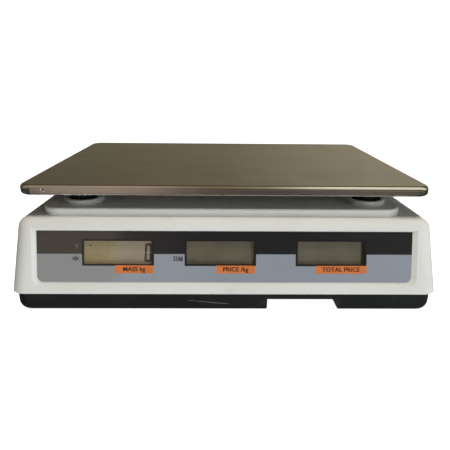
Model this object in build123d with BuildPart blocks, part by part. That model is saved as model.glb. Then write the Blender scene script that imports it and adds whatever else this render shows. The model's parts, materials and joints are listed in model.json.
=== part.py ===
from build123d import *
from math import atan2, cos, degrees, hypot, radians, sin, tan
import os

os.makedirs("parts", exist_ok=True)

# A counter scale that computes prices. +Z is up, the surface it stands on is z = 0, and the
# origin is under the middle of the housing. The customer display faces -Y. The operator's
# keypad and display face +Y, so an operator's left hand is at +X. All sizes are millimetres.

# Driving dimensions
housing_width = 355.5
housing_depth = 345.0
lip_z = 25.0  # lower edge of the top housing
ledge_z = 83.2  # border around the raised deck
deck_z = 90.0
platter_z = 110.0
wall = 3.2
face_tilt = 16.0  # customer face, from vertical
side_tilt = 6.0  # side walls, from vertical
console_middle = (128.2, 59.5)  # y and z of a point in the operator console's face
console_low = (170.4, 34.0)  # the console's lower edge
corner_radius = 13.0
edge_radius = 9.0

platter_size = (341.0, 230.0)
platter_y = -33.0  # centre of the platter, the load cell and the deck's collars
platter_sheet = 1.0
platter_skirt = 8.5
post_spacing = (248.0, 174.0)
stop_spacing = (186.0, 130.5)

tray_size = (351.0, 338.0)  # the part that shows below the housing
tray_rim_size = (344.0, 334.0)  # the part that fits inside it
tray_low_z = 6.0
tray_shoulder_z = 24.6
tray_top_z = 30.0
tray_wall = 3.0
tray_floor_z = tray_low_z + tray_wall
tray_corner = 12.0

overlay_width = 308.0
overlay_thickness = 0.5
overlay_corner = 5.0
recess_depth = 1.6
recess_slope = 4.0  # width of the recess's sloped border at the sides and below
recess_rise = 1.2  # the same above
window_size = (57.5, 20.8)
window_border = 1.0
window_centres = (-88.0, -4.2, 87.2)
display_board_depth = 8.0  # front of a display board, behind the housing's outer face

key_pitch = (22.0, 15.5)
key_size = (17.5, 11.5)
key_travel = 1.2
key_flange = 1.0
bezel_size = (118.0, 52.0)
bezel_corner = 4.0
keypad_opening = (bezel_size[0] - 5.0, bezel_size[1] - 4.0)  # in the housing's wall

foot_spacing = (290.0, 268.0)
foot_thread_radius = 4.0

fit_gap = 0.05  # between a shaft and its hole
loose_gap = 0.4


def side_half(z):
    """Half the housing's width at a height."""
    return housing_width / 2 - (z - lip_z) * tan(radians(side_tilt))


def face_y(z):
    """Where the customer face is at a height."""
    return -housing_depth / 2 + (z - lip_z) * tan(radians(face_tilt))


def rear_y(z):
    """Where the upright strip below the operator console is at a height."""
    lean = (housing_depth / 2 - console_low[0]) / (console_low[1] - lip_z)
    return housing_depth / 2 - (z - lip_z) * lean


# Planes of the two display faces and of the side wall that carries the power switch
face_out = Vector(0, -cos(radians(face_tilt)), sin(radians(face_tilt)))
customer_z = 54.6
customer_plane = Plane(
    origin=(0, face_y(customer_z), customer_z), x_dir=(1, 0, 0), z_dir=face_out
)

console_slope = (console_middle[1] - console_low[1]) / (console_low[0] - console_middle[0])
console_tilt = degrees(atan2(console_slope, 1))
console_top = (console_low[0] - (ledge_z - console_low[1]) / console_slope, ledge_z)
console_out = Vector(0, sin(radians(console_tilt)), cos(radians(console_tilt)))
console_plane = Plane(
    origin=(0, *console_middle),
    x_dir=(-1, 0, 0),
    z_dir=console_out,
)
operator_v = 27.5  # display strip's centre, up the console from its middle
operator_plane = Plane(
    origin=console_plane.from_local_coords((0, operator_v, 0)),
    x_dir=(-1, 0, 0),
    z_dir=console_out,
)
keypad_centre = (58.0, -17.0)
keypad_plane = Plane(
    origin=console_plane.from_local_coords((*keypad_centre, 0)),
    x_dir=(-1, 0, 0),
    z_dir=console_out,
)

switch_y = 60.0
switch_z = 52.0
switch_out = Vector(-cos(radians(side_tilt)), 0, sin(radians(side_tilt)))
switch_plane = Plane(
    origin=(-side_half(switch_z), switch_y, switch_z), x_dir=(0, -1, 0), z_dir=switch_out
)

# The two display panels: name, plane, overlay height, centre of the windows up the panel
customer_height = 41.8
operator_height = 30.0
panels = (
    ("customer", customer_plane, customer_height, 3.4),
    ("operator", operator_plane, operator_height, 0.0),
)

post_places = [
    (x * post_spacing[0] / 2, platter_y + y * post_spacing[1] / 2)
    for x in (-1, 1)
    for y in (-1, 1)
]
screw_places = [(x, y) for x in (-158.0, 158.0) for y in (-95.0, 32.0, 125.0)]
foot_places = [
    (x * foot_spacing[0] / 2, y * foot_spacing[1] / 2) for x in (-1, 1) for y in (-1, 1)
]
stop_places = [
    (x * stop_spacing[0] / 2, platter_y + y * stop_spacing[1] / 2)
    for x in (-1, 1)
    for y in (-1, 1)
]
board_posts = [(x, y) for x in (-52.0, 52.0) for y in (67.0, 133.0)]


# ---- Top housing -------------------------------------------------------------------------

boss_radius = 4.5
boss_pilot_radius = 1.5
boss_low_z = tray_top_z
boss_pilot_depth = 14.0
board_boss_radius = 3.0
board_boss_places = (-148.0, -46.1, 41.5, 148.0)
collar_radius = 17.0
collar_hole_radius = 13.7
collar_height = 4.0
collar_round = 1.2
deck_round = 2.0
deck_size = (305.0, 224.0)
deck_middle = (-2.5, -34.0)
deck_corner = 16.0
vial_radius = 8.0
vial_place = (-88.0, 62.0)
vial_height = 9.0
switch_body = (12.6, 19.0)


def body_form(inset, base_z, corner, edge):
    """The housing's outer form, or its inner one when inset is the wall's thickness."""
    side = [
        (face_y(base_z), base_z),
        (face_y(ledge_z), ledge_z),
        console_top,
        console_low,
        (rear_y(base_z), base_z),
    ]
    shift = inset / cos(radians(side_tilt))
    high_z = ledge_z + edge
    front = [
        (-side_half(base_z) + shift, base_z),
        (side_half(base_z) - shift, base_z),
        (side_half(high_z) - shift, high_z),
        (-side_half(high_z) + shift, high_z),
    ]
    with BuildPart() as form:
        with BuildSketch(Plane.YZ):
            Polygon(*side, align=None)
            if inset:
                offset(amount=-inset, kind=Kind.INTERSECTION)
        extrude(amount=housing_width, both=True)
        with BuildSketch(Plane.XZ):
            Polygon(*front, align=None)
        extrude(amount=housing_depth, both=True, mode=Mode.INTERSECT)
        steep = form.edges().filter_by(lambda e: abs(e.tangent_at(0.5).Z) > 0.8)
        fillet(steep, radius=corner)
        low = form.edges().sort_by(Axis.Z)[0].center().Z
        rim = form.edges().filter_by(
            lambda e: abs(e.tangent_at(0.5).Z) < 0.8 and e.center().Z > low + 1
        )
        fillet(rim, radius=edge)
    return form.part


void_base_z = lip_z - 3 * wall
with BuildPart() as housing_void:
    add(body_form(wall, void_base_z, corner_radius - wall, edge_radius - wall))
    with BuildSketch(Plane.XY.offset(ledge_z - 2 * wall)):
        with Locations(deck_middle):
            RectangleRounded(deck_size[0] - 2 * wall, deck_size[1] - 2 * wall, deck_corner - wall)
    extrude(amount=deck_z - wall - (ledge_z - 2 * wall))
    with BuildSketch(Plane.XY.offset(boss_low_z)):
        with Locations(*screw_places):
            Circle(boss_radius)
    extrude(amount=deck_z, mode=Mode.SUBTRACT)
    for name, plane, height, window_v in panels:
        with BuildSketch(plane.offset(-display_board_depth)):
            with Locations(*[(u, window_v) for u in board_boss_places]):
                Circle(board_boss_radius)
        extrude(amount=display_board_depth, mode=Mode.SUBTRACT)

with BuildPart() as top_housing:
    add(body_form(0, lip_z, corner_radius, edge_radius))
    with BuildSketch(Plane.XY.offset(ledge_z - wall)):
        with Locations(deck_middle):
            RectangleRounded(*deck_size, deck_corner)
    extrude(amount=deck_z - ledge_z + wall)
    fillet(top_housing.faces().sort_by(Axis.Z)[-1].outer_wire().edges(), radius=deck_round)
    with BuildSketch(Plane.XY.offset(ledge_z)):
        with Locations(*post_places):
            Circle(collar_radius)
    extrude(amount=deck_z - ledge_z + collar_height)
    fillet(top_housing.faces().sort_by(Axis.Z)[-4:].edges(), radius=collar_round)
    add(housing_void.part, mode=Mode.SUBTRACT)
    with BuildSketch(Plane.XY.offset(ledge_z - 2 * wall)):
        with Locations(*post_places):
            Circle(collar_hole_radius)
        with Locations(vial_place):
            Circle(vial_radius)
    extrude(amount=deck_z, mode=Mode.SUBTRACT)
    # each display recess has a sloped border that is wide at the sides and below
    for name, plane, height, window_v in panels:
        for level, grow in ((recess_depth, 0.0), (-0.4, 1.25)):
            with BuildSketch(plane.offset(-level)) as recess:
                with Locations((0, grow * (recess_rise - recess_slope) / 2)):
                    Rectangle(
                        overlay_width + loose_gap + 2 * grow * recess_slope,
                        height + loose_gap + grow * (recess_rise + recess_slope),
                    )
                fillet(recess.vertices().group_by(Axis.Y)[0], radius=overlay_corner + 3 * grow)
                fillet(recess.vertices().group_by(Axis.Y)[-1], radius=0.8 + 0.5 * grow)
        loft(mode=Mode.SUBTRACT)
        with BuildSketch(plane.offset(1.0)):
            with Locations(*[(u, window_v) for u in window_centres]):
                Rectangle(*window_size)
        extrude(amount=-(wall + 3.0), mode=Mode.SUBTRACT)
    with BuildSketch(keypad_plane.offset(-recess_depth)):
        RectangleRounded(bezel_size[0] + loose_gap, bezel_size[1] + loose_gap, bezel_corner)
    extrude(amount=wall, mode=Mode.SUBTRACT)
    with BuildSketch(keypad_plane.offset(-recess_depth)):
        RectangleRounded(*keypad_opening, 2.0)
    extrude(amount=-wall, mode=Mode.SUBTRACT)
    with BuildSketch(switch_plane):
        Rectangle(switch_body[0] + loose_gap, switch_body[1] + loose_gap)
    extrude(amount=2 * wall, both=True, mode=Mode.SUBTRACT)
    with BuildSketch(Plane.XY.offset(boss_low_z)):
        with Locations(*screw_places):
            Circle(boss_pilot_radius)
    extrude(amount=boss_pilot_depth, mode=Mode.SUBTRACT)
top_housing.part.label = "top_housing"
export_step(top_housing.part, "parts/top_housing.step")


# ---- Base tray ---------------------------------------------------------------------------

tray_edge = 8.0
tray_rim_wall = 2.4
screw_boss_radius = 5.0
screw_clear_radius = 1.8
screw_head_radius = 3.0
screw_head_z = 20.0
screw_head_height = 2.2
screw_length = 22.0
screw_slot = (3.6, 0.9, 1.2)  # length, width and depth of each arm of the cross
stop_boss_radius = 6.0
stop_hole_z = 16.0
board_post_radius = 3.5
main_board_z = 16.0
cell_pad_z = 12.0
cell_pad_side = 40.0
cell_seat_z = 9.5  # where the heads of the load cell's screws stop
foot_boss_radius = 8.0
foot_boss_z = 20.0
insert_radius = 5.5
m5_radius = 2.4
m5_hole_radius = 2.6
m5_head_radius = 4.2
cell_screw_low = (-90.0, -76.0)  # y of the screws in the load cell's fixed end
cell_screw_high = (10.0, 24.0)  # y of the screws in its loaded end
pocket_x = (35.3, 96.8)
pocket_back_y = -107.0
pocket_top_z = 18.5
pocket_wall = 2.5
inlet_x = 66.0
inlet_z = 13.4
inlet_size = (16.0, 8.4)
battery_x = (-156.0, -86.0)
battery_y = (-83.0, 17.0)
battery_z = (10.5, 57.0)
battery_wall = 2.4
door_x = (-159.8, -82.2)
door_low_y = -85.0
door_shelf_z = 8.4
door_axis = (20.0, 8.0)  # y and z of the battery cover's hinge
door_barrel_radius = 1.9
door_pin_radius = 1.0
door_pin_length = 2.6
hinge_block = (3.6, 6.0)
hinge_block_z = 11.5
finger_notch = (18.0, 8.0)
finger_notch_depth = 1.5
vent_size = (24.0, 3.0)
vent_pitch = 7.0
vent_count = 5
transformer_place = (112.0, -38.0)


def span(low, high):
    """A length and its middle."""
    return high - low, (low + high) / 2


pocket_width, pocket_mid_x = span(*pocket_x)
battery_width, battery_mid_x = span(*battery_x)
battery_length, battery_mid_y = span(*battery_y)
door_width, door_mid_x = span(*door_x)
tray_front_y = -tray_size[1] / 2

with BuildPart() as tray_cavity:
    with BuildSketch(Plane.XY.offset(tray_floor_z)):
        RectangleRounded(
            tray_size[0] - 2 * tray_wall, tray_size[1] - 2 * tray_wall, tray_corner - tray_wall
        )
    extrude(amount=tray_shoulder_z - tray_rim_wall - tray_floor_z)
    fillet(tray_cavity.faces().sort_by(Axis.Z)[0].edges(), radius=tray_edge - tray_wall)
    with BuildSketch(Plane.XY.offset(tray_shoulder_z - 2 * tray_rim_wall)):
        RectangleRounded(
            tray_rim_size[0] - 2 * tray_rim_wall,
            tray_rim_size[1] - 2 * tray_rim_wall,
            tray_corner - tray_rim_wall,
        )
    extrude(amount=tray_top_z - tray_shoulder_z + 2 * tray_rim_wall)
    for places, radius, top_z in (
        (screw_places, screw_boss_radius, tray_top_z),
        (stop_places, stop_boss_radius, tray_top_z),
        (board_posts, board_post_radius, main_board_z),
        (foot_places, foot_boss_radius, foot_boss_z),
    ):
        with BuildSketch(Plane.XY.offset(tray_low_z)):
            with Locations(*places):
                Circle(radius)
        extrude(amount=top_z - tray_low_z, mode=Mode.SUBTRACT)
    with BuildSketch(Plane.XY.offset(tray_low_z)):
        with Locations((0, sum(cell_screw_low) / 2)):
            Rectangle(cell_pad_side, cell_pad_side)
    extrude(amount=cell_pad_z - tray_low_z, mode=Mode.SUBTRACT)
    # walls of the cable channel
    with BuildSketch(Plane.XY.offset(tray_low_z)):
        with Locations((pocket_mid_x, tray_front_y)):
            Rectangle(
                pocket_width + 2 * pocket_wall,
                pocket_back_y + pocket_wall - tray_front_y,
                align=(Align.CENTER, Align.MIN),
            )
    extrude(amount=pocket_top_z + pocket_wall - tray_low_z, mode=Mode.SUBTRACT)
    # three walls that hold the battery
    with BuildSketch(Plane.XY.offset(tray_low_z)):
        with Locations((battery_mid_x, battery_y[1])):
            Rectangle(
                battery_width + 2 * battery_wall,
                battery_length + battery_wall,
                align=(Align.CENTER, Align.MAX),
            )
            Rectangle(
                battery_width + loose_gap,
                battery_length + loose_gap / 2,
                align=(Align.CENTER, Align.MAX),
                mode=Mode.SUBTRACT,
            )
    extrude(amount=tray_top_z - tray_low_z, mode=Mode.SUBTRACT)
    # blocks that hold the battery cover's hinge pins
    with BuildSketch(Plane.XY.offset(tray_low_z)):
        with Locations((door_mid_x, door_axis[0])):
            with GridLocations(door_width + hinge_block[0], 0, 2, 1):
                Rectangle(*hinge_block)
    extrude(amount=hinge_block_z - tray_low_z, mode=Mode.SUBTRACT)

with BuildPart() as base_tray:
    with BuildSketch(Plane.XY.offset(tray_low_z)):
        RectangleRounded(*tray_size, tray_corner)
    extrude(amount=tray_shoulder_z - tray_low_z)
    fillet(base_tray.faces().sort_by(Axis.Z)[0].edges(), radius=tray_edge)
    with BuildSketch(Plane.XY.offset(tray_shoulder_z)):
        RectangleRounded(*tray_rim_size, tray_corner)
    extrude(amount=tray_top_z - tray_shoulder_z)
    add(tray_cavity.part, mode=Mode.SUBTRACT)
    for places, radius, low_z, high_z in (
        (screw_places, screw_clear_radius, tray_low_z, tray_top_z),
        (screw_places, screw_head_radius + 0.6, tray_low_z, screw_head_z),
        (stop_places, m5_radius + fit_gap, stop_hole_z, tray_top_z),
        (foot_places, insert_radius, tray_floor_z, foot_boss_z),
        (foot_places, foot_thread_radius + 0.6, tray_low_z, tray_floor_z),
        ([(0, y) for y in cell_screw_low], m5_hole_radius, tray_low_z, cell_pad_z),
        ([(0, y) for y in cell_screw_low], m5_head_radius + 0.4, tray_low_z, cell_seat_z),
    ):
        with BuildSketch(Plane.XY.offset(low_z)):
            with Locations(*places):
                Circle(radius)
        extrude(amount=high_z - low_z, mode=Mode.SUBTRACT)
    # cable channel, open below and at the customer's side
    with BuildSketch(Plane.XZ.offset(-pocket_back_y)):
        with Locations((pocket_mid_x, 0)):
            Rectangle(pocket_width, pocket_top_z, align=(Align.CENTER, Align.MIN))
    extrude(amount=tray_size[1] / 2, mode=Mode.SUBTRACT)
    with BuildSketch(Plane.XZ.offset(-pocket_back_y - 2 * pocket_wall)):
        with Locations((inlet_x, inlet_z)):
            Rectangle(inlet_size[0] + 0.2, inlet_size[1] + 0.2)
    extrude(amount=3 * pocket_wall, mode=Mode.SUBTRACT)
    # opening for the battery cover: a shelf stops it on three sides, the hinge side is clear
    with BuildSketch(Plane.XY.offset(tray_low_z)):
        with Locations((door_mid_x, door_axis[0] + door_barrel_radius + loose_gap)):
            Rectangle(
                door_width,
                door_axis[0] + door_barrel_radius + loose_gap - door_low_y,
                align=(Align.CENTER, Align.MAX),
            )
    extrude(amount=door_shelf_z - tray_low_z, mode=Mode.SUBTRACT)
    with BuildSketch(Plane.XY.offset(tray_low_z)):
        with Locations((battery_mid_x, battery_mid_y)):
            Rectangle(battery_width + loose_gap, battery_length + loose_gap)
        with Locations((door_mid_x, door_axis[0])):
            Rectangle(door_width, 2 * (door_barrel_radius + loose_gap))
    extrude(amount=tray_wall, mode=Mode.SUBTRACT)
    with BuildSketch(Plane.YZ.offset(door_x[0] - door_pin_length - loose_gap)):
        with Locations(door_axis):
            Circle(door_pin_radius + fit_gap)
    extrude(amount=door_width + 2 * (door_pin_length + loose_gap), mode=Mode.SUBTRACT)
    # finger notch at the cover's free edge
    with BuildSketch(Plane.XY.offset(tray_low_z)):
        with Locations((door_mid_x, door_low_y)):
            SlotOverall(*finger_notch)
    extrude(amount=finger_notch_depth, mode=Mode.SUBTRACT)
    # vents under the transformer
    with BuildSketch(Plane.XY.offset(tray_low_z)):
        with Locations(transformer_place):
            with GridLocations(0, vent_pitch, 1, vent_count):
                SlotOverall(*vent_size)
    extrude(amount=tray_wall, mode=Mode.SUBTRACT)
base_tray.part.label = "base_tray"
export_step(base_tray.part, "parts/base_tray.step")

# Self-tapping screws that hold the tray to the housing
with BuildPart() as housing_screws:
    with BuildSketch(Plane.XY.offset(screw_head_z - screw_head_height)):
        with Locations(*screw_places):
            Circle(screw_head_radius)
    extrude(amount=screw_head_height)
    with BuildSketch(Plane.XY.offset(screw_head_z)):
        with Locations(*screw_places):
            Circle(boss_pilot_radius - fit_gap)
    extrude(amount=screw_length)
    with BuildSketch(Plane.XY.offset(screw_head_z - screw_head_height)):
        with Locations(*screw_places):
            Rectangle(screw_slot[0], screw_slot[1])
            Rectangle(screw_slot[1], screw_slot[0])
    extrude(amount=screw_slot[2], mode=Mode.SUBTRACT)
housing_screws.part.label = "housing_screws"
export_step(housing_screws.part, "parts/housing_screws.step")


# ---- Levelling feet ----------------------------------------------------------------------

foot_radius = 10.0
foot_pad_height = 4.0
foot_disc = (9.0, 1.8)  # radius and thickness
foot_thread_z = foot_pad_height + foot_disc[1]
foot_spigot_radius = 3.0
foot_spigot_z = 1.6
foot_screw_top = 22.0
foot_edge = 0.8
foot_grooves = 12
foot_groove_radius = 1.2

with BuildPart() as foot_inserts:
    with BuildSketch(Plane.XY.offset(tray_floor_z)):
        with Locations(*foot_places):
            Circle(insert_radius - fit_gap)
            Circle(foot_thread_radius + fit_gap, mode=Mode.SUBTRACT)
    extrude(amount=foot_boss_z - tray_floor_z)
foot_inserts.part.label = "foot_inserts"
export_step(foot_inserts.part, "parts/foot_inserts.step")

for number, place in enumerate(foot_places, start=1):
    with BuildPart() as foot_pad:
        with BuildSketch():
            with Locations(place):
                Circle(foot_radius)
        extrude(amount=foot_pad_height)
        chamfer(foot_pad.faces().sort_by(Axis.Z)[0].edges(), length=foot_edge)
        with BuildSketch(Plane.XY.offset(foot_spigot_z - 0.3)):
            with Locations(place):
                Circle(foot_spigot_radius + fit_gap)
        extrude(amount=foot_pad_height, mode=Mode.SUBTRACT)
    foot_pad.part.label = f"foot_pad_{number}"
    export_step(foot_pad.part, f"parts/foot_pad_{number}.step")

    with BuildPart() as foot_screw:
        for radius, low_z, height in (
            (foot_spigot_radius, foot_spigot_z, foot_pad_height - foot_spigot_z),
            (foot_disc[0], foot_pad_height, foot_disc[1]),
            (foot_thread_radius, foot_thread_z, foot_screw_top - foot_thread_z),
        ):
            with BuildSketch(Plane.XY.offset(low_z)):
                with Locations(place):
                    Circle(radius)
            extrude(amount=height)
        chamfer(foot_screw.faces().sort_by(Axis.Z)[-1].edges(), length=foot_edge)
        # finger grooves round the disc
        with BuildSketch(Plane.XY.offset(foot_pad_height)):
            with Locations(place):
                with PolarLocations(foot_disc[0] + foot_groove_radius / 2, foot_grooves):
                    Circle(foot_groove_radius)
        extrude(amount=foot_disc[1], mode=Mode.SUBTRACT)
    foot_screw.part.label = f"foot_screw_{number}"
    export_step(foot_screw.part, f"parts/foot_screw_{number}.step")


# ---- Weighing mechanism ------------------------------------------------------------------

cell_z = (16.0, 38.0)
cell_width = 30.0
cell_length = 130.0
cell_end = 30.0  # length of the seat at each end of the cell
flexure_radius = 7.5
flexure_spacing = 36.0
flexure_slot = (32.0, 4.0)
cell_thread = (12.0, 13.0)  # depth of the threads in its fixed and loaded ends
m5_head_height = 4.5
m5_low_head_height = 3.0
hex_radius = 2.3
stop_hex_radius = 4.4
spider_z = 42.0
spider_plate = 4.0
arm_height = 12.0
arm_width = 14.0
post_radius = 8.5
post_top_z = 104.0
stud_radius = 3.0
stud_hole_radius = 3.5
stop_gap = 0.65
spider_plate_size = (46.0, 100.0)
spider_plate_y = platter_y + 22.0
stud_hole_depth = 9.0
stud_length = 12.0
pad_radius = 11.0
pad_low_z = 92.0
sheet_low_z = platter_z - platter_sheet

with BuildPart() as load_cell_spacer:
    with BuildSketch(Plane.XY.offset(cell_pad_z)):
        with Locations((0, sum(cell_screw_low) / 2)):
            Rectangle(cell_width, cell_end)
        with Locations(*[(0, y) for y in cell_screw_low]):
            Circle(m5_hole_radius, mode=Mode.SUBTRACT)
    extrude(amount=cell_z[0] - cell_pad_z)
load_cell_spacer.part.label = "load_cell_spacer"
export_step(load_cell_spacer.part, "parts/load_cell_spacer.step")

# The load cell is a bar with two holes joined by a slot, so that it bends as a parallelogram
with BuildPart() as load_cell:
    with BuildSketch(Plane.XY.offset(cell_z[0])):
        with Locations((0, platter_y)):
            Rectangle(cell_width, cell_length)
    extrude(amount=cell_z[1] - cell_z[0])
    with BuildSketch(Plane.YZ):
        with Locations((platter_y, sum(cell_z) / 2)):
            Rectangle(*flexure_slot)
            with GridLocations(flexure_spacing, 0, 2, 1):
                Circle(flexure_radius)
    extrude(amount=cell_width, both=True, mode=Mode.SUBTRACT)
    with BuildSketch(Plane.XY.offset(cell_z[0])):
        with Locations(*[(0, y) for y in cell_screw_low]):
            Circle(m5_radius + fit_gap)
    extrude(amount=cell_thread[0], mode=Mode.SUBTRACT)
    with BuildSketch(Plane.XY.offset(cell_z[1])):
        with Locations(*[(0, y) for y in cell_screw_high]):
            Circle(m5_radius + fit_gap)
    extrude(amount=-cell_thread[1], mode=Mode.SUBTRACT)
    chamfer(load_cell.edges().filter_by(Axis.Y).group_by(Axis.Z)[-1], length=0.6)
load_cell.part.label = "load_cell"
export_step(load_cell.part, "parts/load_cell.step")

with BuildPart() as load_cell_screws:
    with BuildSketch(Plane.XY.offset(cell_seat_z - m5_low_head_height)):
        with Locations(*[(0, y) for y in cell_screw_low]):
            Circle(m5_head_radius)
    extrude(amount=m5_low_head_height)
    with BuildSketch(Plane.XY.offset(cell_seat_z - m5_low_head_height)):
        with Locations(*[(0, y) for y in cell_screw_low]):
            RegularPolygon(hex_radius, 6)
    extrude(amount=m5_low_head_height - 1.0, mode=Mode.SUBTRACT)
    with BuildSketch(Plane.XY.offset(cell_seat_z)):
        with Locations(*[(0, y) for y in cell_screw_low]):
            Circle(m5_radius)
    extrude(amount=cell_z[0] + cell_thread[0] - 1.0 - cell_seat_z)
load_cell_screws.part.label = "load_cell_screws"
export_step(load_cell_screws.part, "parts/load_cell_screws.step")

with BuildPart() as overload_stops:
    with BuildSketch(Plane.XY.offset(stop_hole_z + 2.0)):
        with Locations(*stop_places):
            Circle(m5_radius)
    extrude(amount=tray_top_z - stop_hole_z - 2.0)
    with BuildSketch(Plane.XY.offset(tray_top_z)):
        with Locations(*stop_places):
            RegularPolygon(stop_hex_radius, 6)
    extrude(amount=spider_z - stop_gap - tray_top_z)
overload_stops.part.label = "overload_stops"
export_step(overload_stops.part, "parts/overload_stops.step")

arm_angle = degrees(atan2(post_spacing[1], post_spacing[0]))
arm_length = hypot(*post_spacing) / 2
with BuildPart() as carrier_spider:
    with BuildSketch(Plane.XY.offset(cell_z[1])):
        with Locations((0, sum(cell_screw_high) / 2)):
            Rectangle(cell_width, cell_end)
    extrude(amount=spider_z - cell_z[1])
    with BuildSketch(Plane.XY.offset(spider_z)):
        with Locations((0, spider_plate_y)):
            RectangleRounded(*spider_plate_size, 6.0)
    extrude(amount=spider_plate)
    with BuildSketch(Plane.XY.offset(spider_z)):
        for turn in (arm_angle, -arm_angle, 180 - arm_angle, 180 + arm_angle):
            with Locations(Location((0, platter_y, 0), (0, 0, turn))):
                Rectangle(arm_length, arm_width, align=(Align.MIN, Align.CENTER))
        with Locations(*post_places):
            Circle(post_radius + 2.0)
    extrude(amount=arm_height)
    with BuildSketch(Plane.XY.offset(spider_z)):
        with Locations(*post_places):
            Circle(post_radius)
    extrude(amount=post_top_z - spider_z)
    # channels in the arms, open above
    with BuildSketch(Plane.XY.offset(spider_z + 3.0)):
        for turn in (arm_angle, -arm_angle, 180 - arm_angle, 180 + arm_angle):
            with Locations(Location((0, platter_y, 0), (0, 0, turn))):
                with Locations((arm_length * 0.55, 0)):
                    SlotOverall(arm_length * 0.62, arm_width - 6.0)
    extrude(amount=arm_height, mode=Mode.SUBTRACT)
    with BuildSketch(Plane.XY.offset(cell_z[1])):
        with Locations(*[(0, y) for y in cell_screw_high]):
            Circle(m5_hole_radius)
    extrude(amount=spider_z + spider_plate - cell_z[1], mode=Mode.SUBTRACT)
    with BuildSketch(Plane.XY.offset(post_top_z)):
        with Locations(*post_places):
            Circle(stud_hole_radius)
    extrude(amount=-stud_hole_depth, mode=Mode.SUBTRACT)
carrier_spider.part.label = "carrier_spider"
export_step(carrier_spider.part, "parts/carrier_spider.step")

with BuildPart() as carrier_screws:
    with BuildSketch(Plane.XY.offset(cell_z[1] + 2.0 - cell_thread[1])):
        with Locations(*[(0, y) for y in cell_screw_high]):
            Circle(m5_radius)
    extrude(amount=spider_z + spider_plate + cell_thread[1] - 2.0 - cell_z[1])
    with BuildSketch(Plane.XY.offset(spider_z + spider_plate)):
        with Locations(*[(0, y) for y in cell_screw_high]):
            Circle(m5_head_radius)
    extrude(amount=m5_head_height)
    with BuildSketch(Plane.XY.offset(spider_z + spider_plate + 2.0)):
        with Locations(*[(0, y) for y in cell_screw_high]):
            RegularPolygon(hex_radius, 6)
    extrude(amount=m5_head_height, mode=Mode.SUBTRACT)
carrier_screws.part.label = "carrier_screws"
export_step(carrier_screws.part, "parts/carrier_screws.step")

with BuildPart() as carrier_pads:
    with BuildSketch(Plane.XY.offset(pad_low_z)):
        with Locations(*post_places):
            Circle(pad_radius)
    extrude(amount=sheet_low_z - pad_low_z)
    fillet(carrier_pads.edges().group_by(Axis.Z)[-1], radius=1.5)
    with BuildSketch(Plane.XY.offset(pad_low_z)):
        with Locations(*post_places):
            Circle(post_radius + fit_gap)
    extrude(amount=post_top_z - pad_low_z, mode=Mode.SUBTRACT)
    with BuildSketch(Plane.XY.offset(post_top_z)):
        with Locations(*post_places):
            Circle(stud_hole_radius)
    extrude(amount=sheet_low_z - post_top_z, mode=Mode.SUBTRACT)
carrier_pads.part.label = "carrier_pads"
export_step(carrier_pads.part, "parts/carrier_pads.step")


# ---- Platter -----------------------------------------------------------------------------

platter_corner = 12.0
platter_bend = 3.5
hem_height = 4.0
platter_low_z = platter_z - platter_skirt

with BuildPart() as platter_inside:
    with BuildSketch(Plane.XY.offset(platter_low_z - 1.0)):
        with Locations((0, platter_y)):
            RectangleRounded(
                platter_size[0] - 2 * platter_sheet,
                platter_size[1] - 2 * platter_sheet,
                platter_corner - platter_sheet,
            )
    extrude(amount=sheet_low_z - platter_low_z + 1.0)
    fillet(
        platter_inside.faces().sort_by(Axis.Z)[-1].edges(), radius=platter_bend - platter_sheet
    )

with BuildPart() as platter:
    with BuildSketch(Plane.XY.offset(platter_low_z)):
        with Locations((0, platter_y)):
            RectangleRounded(*platter_size, platter_corner)
    extrude(amount=platter_skirt)
    fillet(platter.faces().sort_by(Axis.Z)[-1].edges(), radius=platter_bend)
    add(platter_inside.part, mode=Mode.SUBTRACT)
    # the skirt's lower edge is folded back inside
    with BuildSketch(Plane.XY.offset(platter_low_z)):
        with Locations((0, platter_y)):
            RectangleRounded(
                platter_size[0] - platter_sheet,
                platter_size[1] - platter_sheet,
                platter_corner - platter_sheet / 2,
            )
            RectangleRounded(
                platter_size[0] - 4 * platter_sheet,
                platter_size[1] - 4 * platter_sheet,
                platter_corner - 2 * platter_sheet,
                mode=Mode.SUBTRACT,
            )
    extrude(amount=hem_height)
platter.part.label = "platter"
export_step(platter.part, "parts/platter.step")

with BuildPart() as platter_studs:
    with BuildSketch(Plane.XY.offset(sheet_low_z)):
        with Locations(*post_places):
            Circle(stud_radius)
    extrude(amount=-stud_length)
    chamfer(platter_studs.edges().group_by(Axis.Z)[0], length=0.8)
platter_studs.part.label = "platter_studs"
export_step(platter_studs.part, "parts/platter_studs.step")


# ---- Display panels ----------------------------------------------------------------------

display_size = (61.0, 24.0)
display_front = wall + 0.2
board_thickness = 1.6
window_thickness = 1.0
window_gap = 0.2
display_board_height = 28.0

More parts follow.
